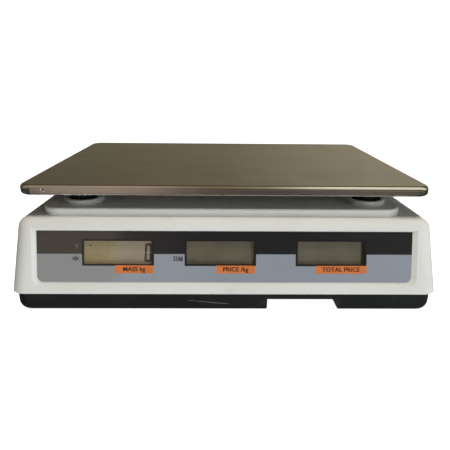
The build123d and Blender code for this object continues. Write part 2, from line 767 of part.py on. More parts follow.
for name, plane, height, window_v in panels:
    window_places = [(u, window_v) for u in window_centres]

    with BuildPart() as overlay:
        with BuildSketch(plane.offset(-recess_depth)) as sheet:
            Rectangle(overlay_width, height)
            fillet(sheet.vertices().group_by(Axis.Y)[0], radius=overlay_corner)
            with Locations(*window_places):
                Rectangle(
                    window_size[0] - 2 * window_border,
                    window_size[1] - 2 * window_border,
                    mode=Mode.SUBTRACT,
                )
        extrude(amount=overlay_thickness)
    overlay.part.label = f"{name}_overlay"
    export_step(overlay.part, f"parts/{name}_overlay.step")

    with BuildPart() as windows:
        with BuildSketch(plane.offset(-recess_depth)):
            with Locations(*window_places):
                Rectangle(window_size[0] - window_gap, window_size[1] - window_gap)
        extrude(amount=-window_thickness)
    windows.part.label = f"{name}_windows"
    export_step(windows.part, f"parts/{name}_windows.step")

    # each display is a glass cell in a frame, and the frame stands on the board
    with BuildPart() as displays:
        with BuildSketch(plane.offset(-display_board_depth)):
            with Locations(*window_places):
                Rectangle(*display_size)
        extrude(amount=display_board_depth - display_front)
        with BuildSketch(plane.offset(-display_front)):
            with Locations(*window_places):
                Rectangle(window_size[0], window_size[1] - 0.4)
        extrude(amount=-0.4, mode=Mode.SUBTRACT)
    displays.part.label = f"{name}_displays"
    export_step(displays.part, f"parts/{name}_displays.step")

    with BuildPart() as display_board:
        with BuildSketch(plane.offset(-display_board_depth)):
            with Locations((0, window_v)):
                Rectangle(overlay_width - 4.0, display_board_height)
        extrude(amount=-board_thickness)
    display_board.part.label = f"{name}_display_board"
    export_step(display_board.part, f"parts/{name}_display_board.step")


# ---- Keypad ------------------------------------------------------------------------------

key_rows = (
    ("7", "8", "9", "zero", "memory"),
    ("4", "5", "6", "tare", "clear"),
    ("1", "2", "3", "0", "point"),
)
key_proud = 1.8  # how far a key stands above the housing's face
mat_thickness = 1.0
bezel_thickness = 1.2
key_corner = 2.0
dome_radius = 4.0
dome_height = 0.5
dome_gap = 0.3  # left under a fully pressed key
mat_top = recess_depth + key_flange + key_travel + dome_gap + dome_height
middle_column = 2
middle_row = 1
keys = [
    (text, ((column - middle_column) * key_pitch[0], (middle_row - row) * key_pitch[1]))
    for row, texts in enumerate(key_rows)
    for column, text in enumerate(texts)
]
key_places = [place for text, place in keys]

with BuildPart() as keypad_bezel:
    with BuildSketch(keypad_plane.offset(-recess_depth)):
        RectangleRounded(*bezel_size, bezel_corner)
        with Locations(*key_places):
            RectangleRounded(key_size[0] + 0.6, key_size[1] + 0.6, key_corner + 0.3, mode=Mode.SUBTRACT)
    extrude(amount=bezel_thickness)
keypad_bezel.part.label = "keypad_bezel"
export_step(keypad_bezel.part, "parts/keypad_bezel.step")

with BuildPart() as keypad_mat:
    with BuildSketch(keypad_plane.offset(-mat_top - mat_thickness)):
        Rectangle(*bezel_size)
    extrude(amount=mat_thickness)
    with BuildSketch(keypad_plane.offset(-mat_top)):
        Rectangle(*bezel_size)
        Rectangle(*keypad_opening, mode=Mode.SUBTRACT)
    extrude(amount=mat_top - wall)
    with BuildSketch(keypad_plane.offset(-mat_top)):
        with Locations(*key_places):
            Circle(dome_radius)
    extrude(amount=dome_height)
keypad_mat.part.label = "keypad_mat"
export_step(keypad_mat.part, "parts/keypad_mat.step")

with BuildPart() as keypad_board:
    with BuildSketch(keypad_plane.offset(-mat_top - mat_thickness)):
        Rectangle(*bezel_size)
    extrude(amount=-board_thickness)
keypad_board.part.label = "keypad_board"
export_step(keypad_board.part, "parts/keypad_board.step")

for text, place in keys:
    with BuildPart() as key:
        with BuildSketch(keypad_plane.offset(-recess_depth - key_flange)):
            with Locations(place):
                RectangleRounded(key_size[0] + 2.0, key_size[1] + 2.0, 2.5)
        extrude(amount=key_flange)
        with BuildSketch(keypad_plane.offset(-recess_depth)):
            with Locations(place):
                RectangleRounded(*key_size, key_corner)
        extrude(amount=recess_depth + key_proud, taper=3.0)
        top = key.faces().sort_by(Axis((0, 0, 0), tuple(console_out)))[-1]
        fillet(top.edges(), radius=0.7)
    key.part.label = f"key_{text}"
    export_step(key.part, f"parts/key_{text}.step")


# ---- Power: inlet, switch, transformer, battery ------------------------------------------

inlet_flange = (22.0, 9.8, 1.2)  # width, height and thickness
inlet_depth = 16.0
inlet_pin_spacing = 6.6
inlet_well = (3.8, 11.0)  # radius and depth round each pin
inlet_pin = (1.2, 9.0)  # radius and length
switch_frame = (15.0, 21.0)
switch_flange = 1.8
switch_depth = 14.0
switch_well = (10.4, 16.6)
switch_well_depth = 7.0
rocker_width = 9.8
rocker_half = 7.6
rocker_pivot_depth = 1.5
rocker_pin_radius = 1.0
rocker_tilt = 8.0
rocker_pivot = switch_plane.origin - switch_out * rocker_pivot_depth

with BuildPart() as power_inlet:
    # two-pin socket in the cable channel's back wall, with a flange on the outside
    with BuildSketch(Plane.XZ.offset(-pocket_back_y)):
        with Locations((inlet_x, inlet_z)):
            RectangleRounded(inlet_flange[0], inlet_flange[1], 1.5)
    extrude(amount=inlet_flange[2])
    with BuildSketch(Plane.XZ.offset(-pocket_back_y)):
        with Locations((inlet_x, inlet_z)):
            Rectangle(*inlet_size)
    extrude(amount=-inlet_depth)
    with BuildSketch(Plane.XZ.offset(-pocket_back_y + inlet_flange[2])):
        with Locations((inlet_x, inlet_z)):
            with GridLocations(inlet_pin_spacing, 0, 2, 1):
                Circle(inlet_well[0])
    extrude(amount=-inlet_well[1], mode=Mode.SUBTRACT)
    with BuildSketch(Plane.XZ.offset(-pocket_back_y + inlet_flange[2] - inlet_well[1])):
        with Locations((inlet_x, inlet_z)):
            with GridLocations(inlet_pin_spacing, 0, 2, 1):
                Circle(inlet_pin[0])
    extrude(amount=inlet_pin[1])
power_inlet.part.label = "power_inlet"
export_step(power_inlet.part, "parts/power_inlet.step")

with BuildPart() as power_switch_frame:
    with BuildSketch(switch_plane):
        RectangleRounded(*switch_frame, 1.5)
    extrude(amount=switch_flange)
    with BuildSketch(switch_plane):
        Rectangle(*switch_body)
    extrude(amount=-switch_depth)
    with BuildSketch(switch_plane.offset(switch_flange)):
        Rectangle(*switch_well)
    extrude(amount=-switch_flange - switch_well_depth, mode=Mode.SUBTRACT)
    with BuildSketch(Plane.XZ.offset(-switch_y)):
        with Locations((rocker_pivot.X, rocker_pivot.Z)):
            Circle(rocker_pin_radius + fit_gap)
    extrude(amount=6.0, both=True, mode=Mode.SUBTRACT)
power_switch_frame.part.label = "power_switch_frame"
export_step(power_switch_frame.part, "parts/power_switch_frame.step")

# The rocker rests tilted to its off side. Its profile's plane has the pivot as its origin.
rocker_up = (
    switch_plane.y_dir * cos(radians(rocker_tilt)) + switch_out * sin(radians(rocker_tilt))
)
rocker_side = Plane(origin=rocker_pivot, x_dir=rocker_up, z_dir=switch_plane.x_dir)
with BuildPart() as power_switch_rocker:
    with BuildSketch(rocker_side):
        Polygon(
            (-6.0, -2.5),
            (6.0, -2.5),
            (rocker_half, 1.0),
            (rocker_half, 4.1),
            (0.0, 2.9),
            (-rocker_half, 4.1),
            (-rocker_half, 1.0),
            align=None,
        )
    extrude(amount=rocker_width / 2, both=True)
    with BuildSketch(rocker_side):
        Circle(rocker_pin_radius)
    extrude(amount=rocker_width / 2 + 1.0, both=True)
power_switch_rocker.part.label = "power_switch_rocker"
export_step(power_switch_rocker.part, "parts/power_switch_rocker.step")

transformer_foot = (44.0, 60.0, 2.0)
transformer_core = (42.0, 18.0, 34.0)
transformer_coil = (26.0, 34.0, 22.0)
transformer_coil_z = tray_floor_z + 8.0

with BuildPart() as transformer:
    with BuildSketch(Plane.XY.offset(tray_floor_z)):
        with Locations(transformer_place):
            Rectangle(transformer_foot[0], transformer_foot[1])
    extrude(amount=transformer_foot[2])
    with BuildSketch(Plane.XY.offset(tray_floor_z + transformer_foot[2])):
        with Locations(transformer_place):
            Rectangle(transformer_core[0], transformer_core[1])
    extrude(amount=transformer_core[2])
    with BuildSketch(Plane.XY.offset(transformer_coil_z)):
        with Locations(transformer_place):
            RectangleRounded(transformer_coil[0], transformer_coil[1], 4.0)
    extrude(amount=transformer_coil[2])
transformer.part.label = "transformer"
export_step(transformer.part, "parts/transformer.step")

terminal_places = (battery_mid_x - 17.0, battery_mid_x + 17.0)
terminal_z = 50.0
terminal_size = (6.0, 4.0)
terminal_length = 3.0
cover_thickness = 2.2
cover_rib = 2.0
cover_rib_pitch = 32.0

with BuildPart() as battery:
    with BuildSketch(Plane.XY.offset(battery_z[0])):
        with Locations((battery_mid_x, battery_mid_y)):
            Rectangle(battery_width, battery_length)
    extrude(amount=battery_z[1] - battery_z[0])
    fillet(battery.edges().filter_by(Axis.Y), radius=2.0)
    with BuildSketch(Plane.XZ.offset(-battery_y[1])):
        with Locations(*[(x, terminal_z) for x in terminal_places]):
            Rectangle(*terminal_size)
    extrude(amount=-terminal_length)
battery.part.label = "battery"
export_step(battery.part, "parts/battery.step")

with BuildPart() as battery_cover:
    with BuildSketch(Plane.XY.offset(tray_low_z)):
        with Locations((door_mid_x, door_axis[0])):
            Rectangle(
                door_width - 2 * loose_gap,
                door_axis[0] - door_low_y - loose_gap,
                align=(Align.CENTER, Align.MAX),
            )
    extrude(amount=cover_thickness)
    # ribs that the battery rests on
    with BuildSketch(Plane.XY.offset(tray_low_z + cover_thickness)):
        with Locations((battery_mid_x, battery_mid_y)):
            with GridLocations(0, cover_rib_pitch, 1, 3):
                Rectangle(battery_width - 8.0, cover_rib)
    extrude(amount=battery_z[0] - tray_low_z - cover_thickness)
    with BuildSketch(Plane.YZ.offset(door_x[0] + loose_gap)):
        with Locations(door_axis):
            Circle(door_barrel_radius)
    extrude(amount=door_width - 2 * loose_gap)
    with BuildSketch(Plane.YZ.offset(door_x[0] - door_pin_length)):
        with Locations(door_axis):
            Circle(door_pin_radius)
    extrude(amount=door_width + 2 * door_pin_length)
battery_cover.part.label = "battery_cover"
export_step(battery_cover.part, "parts/battery_cover.step")


# ---- Boards and wiring -------------------------------------------------------------------

main_board_size = (120.0, 80.0)
main_board_y = 100.0
board_top_z = main_board_z + board_thickness
plug_z = 21.0  # height at which cables enter the connectors on the main board
plug_y = 62.0
plug_x = -60.0
ribbon_x = (-50.0, -30.0)
cell_cable_x = 26.0
lead_rows = (84.0, 76.0)
lead_radius = 1.2
lead_drop_y = battery_y[1] + 9.5
lead_low_z = 13.0
ribbon_thickness = 1.2
cell_cable_radius = 2.0
cell_cable_z = 12.0
capacitor = (6.0, 16.0)  # radius and height

with BuildPart() as main_board:
    with BuildSketch(Plane.XY.offset(main_board_z)):
        with Locations((0, main_board_y)):
            Rectangle(*main_board_size)
    extrude(amount=board_thickness)
main_board.part.label = "main_board"
export_step(main_board.part, "parts/main_board.step")

with BuildPart() as main_board_parts:
    # connectors, chips and the heat sink, as place, size and height
    for x, y, width, depth, height in (
        (sum(ribbon_x) / 2, plug_y + 3.0, 24.0, 6.0, 7.0),
        (cell_cable_x, plug_y + 4.0, 12.0, 8.0, 7.0),
        (plug_x + 4.0, sum(lead_rows) / 2, 8.0, 18.0, 7.0),
        (-8.0, 104.0, 14.0, 14.0, 1.8),
        (-34.0, 108.0, 10.0, 18.0, 2.2),
        (44.0, 104.0, 8.0, 26.0, 14.0),
    ):
        with BuildSketch(Plane.XY.offset(board_top_z)):
            with Locations((x, y)):
                Rectangle(width, depth)
        extrude(amount=height)
    with BuildSketch(Plane.XY.offset(board_top_z)):
        with Locations((22.0, 92.0), (22.0, 112.0)):
            Circle(capacitor[0])
    extrude(amount=capacitor[1])
main_board_parts.part.label = "main_board_parts"
export_step(main_board_parts.part, "parts/main_board_parts.step")

# Flat cable from the back of the customer display's board along the tray to the main board
ribbon_start = customer_plane.from_local_coords((0, -6.0, -display_board_depth - board_thickness))
ribbon_turn = ribbon_start - face_out * 7.0
ribbon_z = tray_floor_z + ribbon_thickness
with BuildPart() as display_ribbon:
    with BuildSketch(Plane.YZ.offset(ribbon_x[0])):
        with BuildLine():
            FilletPolyline(
                (ribbon_start.Y, ribbon_start.Z),
                (ribbon_turn.Y, ribbon_turn.Z),
                (ribbon_turn.Y + 4.0, ribbon_z),
                (plug_y - 14.0, ribbon_z),
                (plug_y - 8.0, plug_z),
                (plug_y, plug_z),
                radius=4.0,
            )
        trace(line_width=ribbon_thickness)
    extrude(amount=ribbon_x[1] - ribbon_x[0])
display_ribbon.part.label = "display_ribbon"
export_step(display_ribbon.part, "parts/display_ribbon.step")

cell_side = (cell_width / 2, -52.0, sum(cell_z) / 2)
with BuildPart() as load_cell_cable:
    with BuildLine() as cell_route:
        FilletPolyline(
            cell_side,
            (cell_cable_x, cell_side[1], cell_side[2]),
            (cell_cable_x, cell_side[1] + 14.0, cell_cable_z),
            (cell_cable_x, plug_y - 16.0, cell_cable_z),
            (cell_cable_x, plug_y - 8.0, plug_z),
            (cell_cable_x, plug_y, plug_z),
            radius=5.0,
        )
    with BuildSketch(Plane(origin=cell_side, z_dir=(1, 0, 0))):
        Circle(cell_cable_radius)
    sweep()
load_cell_cable.part.label = "load_cell_cable"
export_step(load_cell_cable.part, "parts/load_cell_cable.step")

with BuildPart() as battery_leads:
    for x, row in zip(terminal_places, lead_rows):
        start = (x, battery_y[1] + terminal_length, terminal_z)
        with BuildLine():
            FilletPolyline(
                start,
                (x, lead_drop_y, terminal_z),
                (x, lead_drop_y, lead_low_z),
                (x, row - 18.0, lead_low_z),
                (plug_x - 18.0, row, lead_low_z),
                (plug_x - 10.0, row, plug_z),
                (plug_x, row, plug_z),
                radius=3.0,
            )
        with BuildSketch(Plane(origin=start, z_dir=(0, 1, 0))):
            Circle(lead_radius)
        sweep()
battery_leads.part.label = "battery_leads"
export_step(battery_leads.part, "parts/battery_leads.step")


# ---- Round level -------------------------------------------------------------------------

vial_low_z = deck_z - vial_height + 0.4
fluid_radius = 6.4
fluid_z = (vial_low_z + 2.0, deck_z - 1.2)
bubble_radius = 2.3

with BuildPart() as level_vial:
    with BuildSketch(Plane.XY.offset(vial_low_z)):
        with Locations(vial_place):
            Circle(vial_radius - fit_gap)
    extrude(amount=vial_height)
    with BuildSketch(Plane.XY.offset(fluid_z[0])):
        with Locations(vial_place):
            Circle(fluid_radius + fit_gap)
    extrude(amount=fluid_z[1] - fluid_z[0], mode=Mode.SUBTRACT)
level_vial.part.label = "level_vial"
export_step(level_vial.part, "parts/level_vial.step")

with BuildPart() as level_fluid:
    with BuildSketch(Plane.XY.offset(fluid_z[0])):
        with Locations(vial_place):
            Circle(fluid_radius)
    extrude(amount=fluid_z[1] - fluid_z[0])
    with Locations((*vial_place, fluid_z[1])):
        Sphere(bubble_radius, mode=Mode.SUBTRACT)
level_fluid.part.label = "level_fluid"
export_step(level_fluid.part, "parts/level_fluid.step")
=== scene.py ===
import json
import math

import bpy
from mathutils import Matrix, Vector

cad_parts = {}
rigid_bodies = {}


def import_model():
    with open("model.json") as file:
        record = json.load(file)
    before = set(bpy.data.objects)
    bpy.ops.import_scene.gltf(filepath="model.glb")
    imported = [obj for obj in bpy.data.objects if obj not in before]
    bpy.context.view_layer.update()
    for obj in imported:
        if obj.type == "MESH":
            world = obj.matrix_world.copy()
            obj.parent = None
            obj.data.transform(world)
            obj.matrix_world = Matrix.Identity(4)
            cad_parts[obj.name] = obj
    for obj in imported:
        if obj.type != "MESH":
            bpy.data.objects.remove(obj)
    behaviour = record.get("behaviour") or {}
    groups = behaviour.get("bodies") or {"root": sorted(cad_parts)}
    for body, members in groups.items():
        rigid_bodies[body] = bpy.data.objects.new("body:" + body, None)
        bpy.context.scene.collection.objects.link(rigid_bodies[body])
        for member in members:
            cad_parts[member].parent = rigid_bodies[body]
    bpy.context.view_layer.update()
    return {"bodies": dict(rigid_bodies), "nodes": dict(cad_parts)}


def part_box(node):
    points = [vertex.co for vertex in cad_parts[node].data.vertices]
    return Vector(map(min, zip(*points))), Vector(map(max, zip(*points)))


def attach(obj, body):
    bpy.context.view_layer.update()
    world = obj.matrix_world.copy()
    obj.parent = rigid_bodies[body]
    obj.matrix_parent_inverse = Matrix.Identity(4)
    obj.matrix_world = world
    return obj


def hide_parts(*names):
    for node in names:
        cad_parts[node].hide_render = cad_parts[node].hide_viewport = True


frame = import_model()
nodes = frame["nodes"]
print("counter scale: frame loaded,", len(nodes), "nodes")

mm = 0.001  # sizes below are in millimetres, Blender works in metres
tiny = 1e-5


def linear(red, green, blue):
    # a screen colour, 0 to 255, as the linear colour that shaders use
    parts = []
    for part in (red, green, blue):
        share = part / 255
        parts.append(share / 12.92 if share <= 0.04045 else ((share + 0.055) / 1.055) ** 2.4)
    return (*parts, 1.0)


def clearPick():
    if bpy.context.mode != "OBJECT":
        bpy.ops.object.mode_set(mode="OBJECT")
    bpy.ops.object.select_all(action="DESELECT")


def pick(*pieces):
    clearPick()
    for piece in pieces:
        piece.select_set(True)
    bpy.context.view_layer.objects.active = pieces[0]


def settle(piece):
    # the piece's place goes into its mesh, so that its object stays at the origin
    pick(piece)
    bpy.ops.object.transform_apply(location=True, rotation=True, scale=True)
    return piece


def newest(name):
    piece = bpy.context.active_object
    piece.name = name
    piece.data.name = name
    return piece


def pickParts(piece, kind, test):
    # selects faces, edges or vertices of a mesh by a test on their middle and, for faces, normal
    pick(piece)
    bpy.ops.object.mode_set(mode="EDIT")
    bpy.ops.mesh.select_mode(type=kind)
    bpy.ops.mesh.select_all(action="DESELECT")
    bpy.ops.object.mode_set(mode="OBJECT")
    mesh = piece.data
    if kind == "FACE":
        for face in mesh.polygons:
            face.select = bool(test(face.center, face.normal))
    elif kind == "EDGE":
        for edge in mesh.edges:
            ends = [mesh.vertices[i].co for i in edge.vertices]
            edge.select = bool(test((ends[0] + ends[1]) / 2, ends[1] - ends[0]))
    else:
        for vertex in mesh.vertices:
            vertex.select = bool(test(vertex.co, vertex.normal))
    bpy.ops.object.mode_set(mode="EDIT")


def smoothly(piece, angle=35):
    pick(piece)
    bpy.ops.object.shade_smooth_by_angle(angle=math.radians(angle))


def joinAll(pieces, name):
    pick(*pieces)
    if len(pieces) > 1:
        bpy.ops.object.join()
    return newest(name)


def copyPiece(piece, name, matrix):
    twin = piece.copy()
    twin.data = piece.data.copy()
    twin.name = name
    bpy.context.scene.collection.objects.link(twin)
    twin.data.transform(matrix)
    return twin


def finishPiece(piece, body, material):
    settle(piece)
    piece.data.materials.clear()
    piece.data.materials.append(material)
    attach(piece, body)
    return piece


class Wire:
    # one value or colour inside a material; sums on it become Math nodes

    def __init__(self, finish, socket):
        self.finish = finish
        self.socket = socket

    def maths(self, operation, first, second=0.0):
        return self.finish.node("ShaderNodeMath", {"operation": operation}, {0: first, 1: second})

    def __add__(self, other):
        return self.maths("ADD", self, other)

    def __radd__(self, other):
        return self.maths("ADD", other, self)

    def __sub__(self, other):
        return self.maths("SUBTRACT", self, other)

    def __rsub__(self, other):
        return self.maths("SUBTRACT", other, self)

    def __mul__(self, other):
        return self.maths("MULTIPLY", self, other)

    def __rmul__(self, other):
        return self.maths("MULTIPLY", other, self)

    def __abs__(self):
        return self.maths("ABSOLUTE", self)

    def most(self, other):
        return self.maths("MAXIMUM", self, other)

    def rise(self, low, high, start=0.0, end=1.0):
        # goes smoothly from start to end as the value goes from low to high
        return self.finish.node(
            "ShaderNodeMapRange",
            {"interpolation_type": "SMOOTHSTEP"},
            {"Value": self, "From Min": low, "From Max": high, "To Min": start, "To Max": end},
        )


class Wiring:
    # adds nodes to one node tree and links them

    def __init__(self, tree):
        self.tree = tree

    def feed(self, socket, value):
        if isinstance(value, Wire):
            self.tree.links.new(value.socket, socket)
        else:
            socket.default_value = value

    def node(self, kind, settings=None, inputs=None, output=0):
        made = self.tree.nodes.new(kind)
        for setting, value in (settings or {}).items():
            if setting == "stops":
                ramp = made.color_ramp
                while len(ramp.elements) < len(value):
                    ramp.elements.new(0.5)
                for element, (place, colour) in zip(ramp.elements, value):
                    element.position = place
                    element.color = colour
            else:
                setattr(made, setting, value)
        for socket, value in (inputs or {}).items():
            self.feed(made.inputs[socket], value)
        return None if output is None else Wire(self, made.outputs[output])

    def place(self):
        return self.node("ShaderNodeTexCoord", output="Object")

    def turned(self, scale=(1, 1, 1), turn=(0, 0, 0), shift=(0, 0, 0)):
        return self.node(
            "ShaderNodeMapping",
            {},
            {"Vector": self.place(), "Location": shift, "Rotation": turn, "Scale": scale},
        )

    def along(self, direction, start=0.0):
        # distance along a direction, in metres
        dot = self.node(
            "ShaderNodeVectorMath",
            {"operation": "DOT_PRODUCT"},
            {0: self.place(), 1: tuple(direction)},
            output="Value",
        )
        return dot - start

    def reach(self, point):
        # distance from a point given in millimetres, in metres
        return self.node(
            "ShaderNodeVectorMath",
            {"operation": "DISTANCE"},
            {0: self.place(), 1: tuple(side * mm for side in point)},
            output="Value",
        )

    def noise(self, scale, detail=3.0, rough=0.55, bend=0.0, where=None):
        return self.node(
            "ShaderNodeTexNoise",
            {},
            {
                "Vector": where or self.place(),
                "Scale": scale,
                "Detail": detail,
                "Roughness": rough,
                "Distortion": bend,
            },
            output="Fac",
        )

    def cells(self, scale, where=None, **settings):
        return self.node(
            "ShaderNodeTexVoronoi",
            settings,
            {"Vector": where or self.place(), "Scale": scale},
            output="Distance",
        )

    def mix(self, share, first, second):
        made = self.tree.nodes.new("ShaderNodeMix")
        made.data_type = "RGBA"
        self.feed(made.inputs[0], share)
        self.feed(made.inputs[6], first)
        self.feed(made.inputs[7], second)
        return Wire(self, made.outputs[2])

    def ramp(self, value, stops):
        return self.node("ShaderNodeValToRGB", {"stops": stops}, {0: value})


class Finish(Wiring):
    # a material built round one Principled shader

    def __init__(self, name, **fixed):
        self.material = bpy.data.materials.new(name)
        self.material.use_nodes = True
        super().__init__(self.material.node_tree)
        self.shader = self.tree.nodes["Principled BSDF"]
        for socket, value in fixed.items():
            self.feed(self.shader.inputs[socket.replace("_", " ")], value)

    def colour(self, value):
        self.feed(self.shader.inputs["Base Color"], value)

    def rough(self, value):
        self.feed(self.shader.inputs["Roughness"], value)

    def bump(self, height, strength=0.3, distance=0.0002):
        normal = self.node(
            "ShaderNodeBump",
            {},
            {"Height": height, "Strength": strength, "Distance": distance},
            output="Normal",
        )
        self.feed(self.shader.inputs["Normal"], normal)


viewpoint = {
    "place": (-5.5, -481.6, 195.4),
    "yaw": -0.87,
    "pitch": 70.43,
    "roll": 0.53,
    "lens": 33.84,
    "sensor": 36.0,
}


def setCamera():
    data = bpy.data.cameras.new("shopCamera")
    data.sensor_width = viewpoint["sensor"]
    data.lens = viewpoint["lens"]
    data.clip_start = 0.01
    camera = bpy.data.objects.new("shopCamera", data)
    turn = (
        Matrix.Rotation(math.radians(viewpoint["yaw"]), 4, "Z")
        @ Matrix.Rotation(math.radians(viewpoint["pitch"]), 4, "X")
        @ Matrix.Rotation(math.radians(viewpoint["roll"]), 4, "Z")
    )
    camera.matrix_world = Matrix.Translation(Vector(viewpoint["place"]) * mm) @ turn
    bpy.context.scene.collection.objects.link(camera)
    bpy.context.scene.camera = camera


setCamera()
print("camera set")


studio = {
    "floorSize": 14.0,
    "floorGlow": 1.0,
    "skyLow": 1.66,  # soft light from below, at the horizon and from above
    "skyMiddle": 0.06,
    "skyHigh": 0.16,
    "skyBehind": 0.35,  # its share behind the scale
    "skyLeft": (0.55, 0.49, 0.44, 1),
    "skyRight": (1.52, 1.63, 1.74, 1),
    "roomMiddle": (0.07, 0.05, 0.035, 1),
    "stripGlow": 0.5,  # pale strip that the steel mirrors near the horizon
    "stripLow": (-0.20, -0.08),
    "stripHigh": (0.0, 0.12),
    "stripDepth": (-0.4, 0.0),
    "benchDark": 0.35,
    "benchFade": (-0.75, -0.38),
    "backdropGlow": 1.05,
    "aim": (0, 0, 0.06),
    "highPower": 14.5,
    "highSize": 0.7,
    "highPlace": (0.15, -0.24, 1.45),
    "highColour": (1.0, 0.97, 0.92),
    "frontPower": 3.6,
    "frontSize": 0.9,
    "frontPlace": (1.05, -1.25, 0.36),
    "frontColour": (0.80, 0.93, 1.0),
    "rearPower": 2.0,
    "rearSize": 1.0,
    "rearPlace": (0.2, 1.3, 1.1),
    "rearColour": (1.0, 0.98, 0.95),
}

# what shiny faces mirror, by side: 0 is far left, 1 is far right
roomBehind = [
    (0.0, (0.115, 0.105, 0.070, 1)),
    (0.25, (0.144, 0.127, 0.085, 1)),
    (0.5, (0.176, 0.153, 0.099, 1)),
    (0.85, (0.300, 0.268, 0.194, 1)),
]
roomOverhead = [
    (0.0, (0.36, 0.30, 0.24, 1)),
    (0.3, (0.48, 0.38, 0.30, 1)),
    (0.45, (0.20, 0.16, 0.10, 1)),
    (0.62, (0.30, 0.26, 0.17, 1)),
    (0.78, (1.10, 1.08, 0.88, 1)),
    (1.0, (1.02, 1.00, 0.84, 1)),
]
roomBefore = [
    (0.0, (0.05, 0.048, 0.04, 1)),
    (0.10, (0.38, 0.32, 0.27, 1)),
    (0.28, (0.34, 0.27, 0.22, 1)),
    (0.42, (0.085, 0.055, 0.045, 1)),
    (0.7, (0.065, 0.052, 0.045, 1)),
    (0.92, (0.12, 0.105, 0.075, 1)),
    (1.0, (0.06, 0.052, 0.042, 1)),
]


def aimLight(name, place, size, power, colour):
    data = bpy.data.lights.new(name, "AREA")
    data.shape = "DISK"
    data.size = size
    data.energy = power
    data.color = colour
    light = bpy.data.objects.new(name, data)
    light.location = place
    light.rotation_mode = "QUATERNION"
    aim = Vector(studio["aim"]) - Vector(place)
    light.rotation_quaternion = aim.to_track_quat("-Z", "Y")
    light.visible_camera = False
    light.visible_glossy = False
    bpy.context.scene.collection.objects.link(light)


def setFloor():
    bpy.ops.mesh.primitive_plane_add(size=studio["floorSize"], location=(0, 0, 0))
    floor = newest("floor")
    paper = Finish("palePaper", Roughness=0.9)
    paper.colour(paper.mix(paper.noise(40.0), (0.50, 0.50, 0.50, 1), (0.52, 0.52, 0.52, 1)))
    paper.feed(paper.shader.inputs["Emission Color"], (1, 1, 1, 1))
    paper.feed(paper.shader.inputs["Emission Strength"], studio["floorGlow"])
    floor.data.materials.append(paper.material)
    floor.visible_glossy = False
    floor.visible_diffuse = False
    floor.visible_shadow = False


def setWorld():
    world = bpy.data.worlds.new("studio")
    bpy.context.scene.world = world
    world.use_nodes = True
    world.node_tree.nodes.clear()
    air = Wiring(world.node_tree)
    toward = air.node("ShaderNodeTexCoord", output="Generated")
    axes = [air.node("ShaderNodeSeparateXYZ", {}, {0: toward}, output=i) for i in range(3)]
    sideways, depth, height = axes
    # soft light on matt faces, from a white bench below and a dimmer room around
    low, middle, high = (
        (strength * 0.97, strength * 0.985, strength * 0.97, 1)
        for strength in (studio["skyLow"], studio["skyMiddle"], studio["skyHigh"])
    )
    sky = air.ramp(height * 0.5 + 0.5, [(0.36, low), (0.48, middle), (0.85, high)])
    tint = air.mix(sideways.rise(-0.8, 0.8), studio["skyLeft"], studio["skyRight"])
    sky = air.node("ShaderNodeVectorMath", {"operation": "MULTIPLY"}, {0: sky, 1: tint})
    lean = depth.rise(-0.5, 0.1, 1.0, studio["skyBehind"])
    sky = air.node("ShaderNodeVectorMath", {"operation": "SCALE"}, {0: sky, "Scale": lean})
    # the dim warm room that the steel and the glossy films mirror
    across = sideways + 0.5
    turn = air.node("ShaderNodeMath", {"operation": "ARCTAN2"}, {0: height, 1: depth})
    room = air.mix(turn.rise(0.42, 0.62), air.ramp(across, roomBehind), studio["roomMiddle"])
    room = air.mix(turn.rise(1.15, 1.4), room, air.ramp(across, roomOverhead))
    room = air.mix(turn.rise(2.25, 2.75), room, air.ramp(across, roomBefore))
    below = height.rise(-0.12, 0.0, 1.0, 0.0)
    room = air.mix(below, room, air.ramp(across, roomBefore))
    # a pale strip near the horizon in front, darker towards the bench
    strip = height.rise(*studio["stripLow"]) * height.rise(*studio["stripHigh"], 1.0, 0.0)
    strip = strip * depth.rise(*studio["stripDepth"], 1.0, 0.0)
    deep = height.rise(*studio["benchFade"], studio["benchDark"], 1.0)
    bright = (1.0 + strip * studio["stripGlow"]) * deep
    room = air.node("ShaderNodeVectorMath", {"operation": "SCALE"}, {0: room, "Scale": bright})
    lit = [
        air.node("ShaderNodeBackground", {}, {"Color": colour, "Strength": strength})
        for colour, strength in ((sky, 1.0), (room, 1.0), ((1, 1, 1, 1), studio["backdropGlow"]))
    ]
    shiny = air.node("ShaderNodeLightPath", output="Is Glossy Ray")
    seen = air.node("ShaderNodeLightPath", output="Is Camera Ray")
    picked = air.node("ShaderNodeMixShader", {}, {0: shiny, 1: lit[0], 2: lit[1]})
    picked = air.node("ShaderNodeMixShader", {}, {0: seen, 1: picked, 2: lit[2]})
    air.node("ShaderNodeOutputWorld", {}, {"Surface": picked}, output=None)


def setStudio():
    setFloor()
    for name in ("high", "front", "rear"):
        aimLight(
            name + "Light",
            studio[name + "Place"],
            studio[name + "Size"],
            studio[name + "Power"],
            studio[name + "Colour"],
        )
    setWorld()
    bpy.context.scene.view_settings.view_transform = "Standard"
    bpy.context.scene.view_settings.look = "None"


setStudio()
print("studio set")


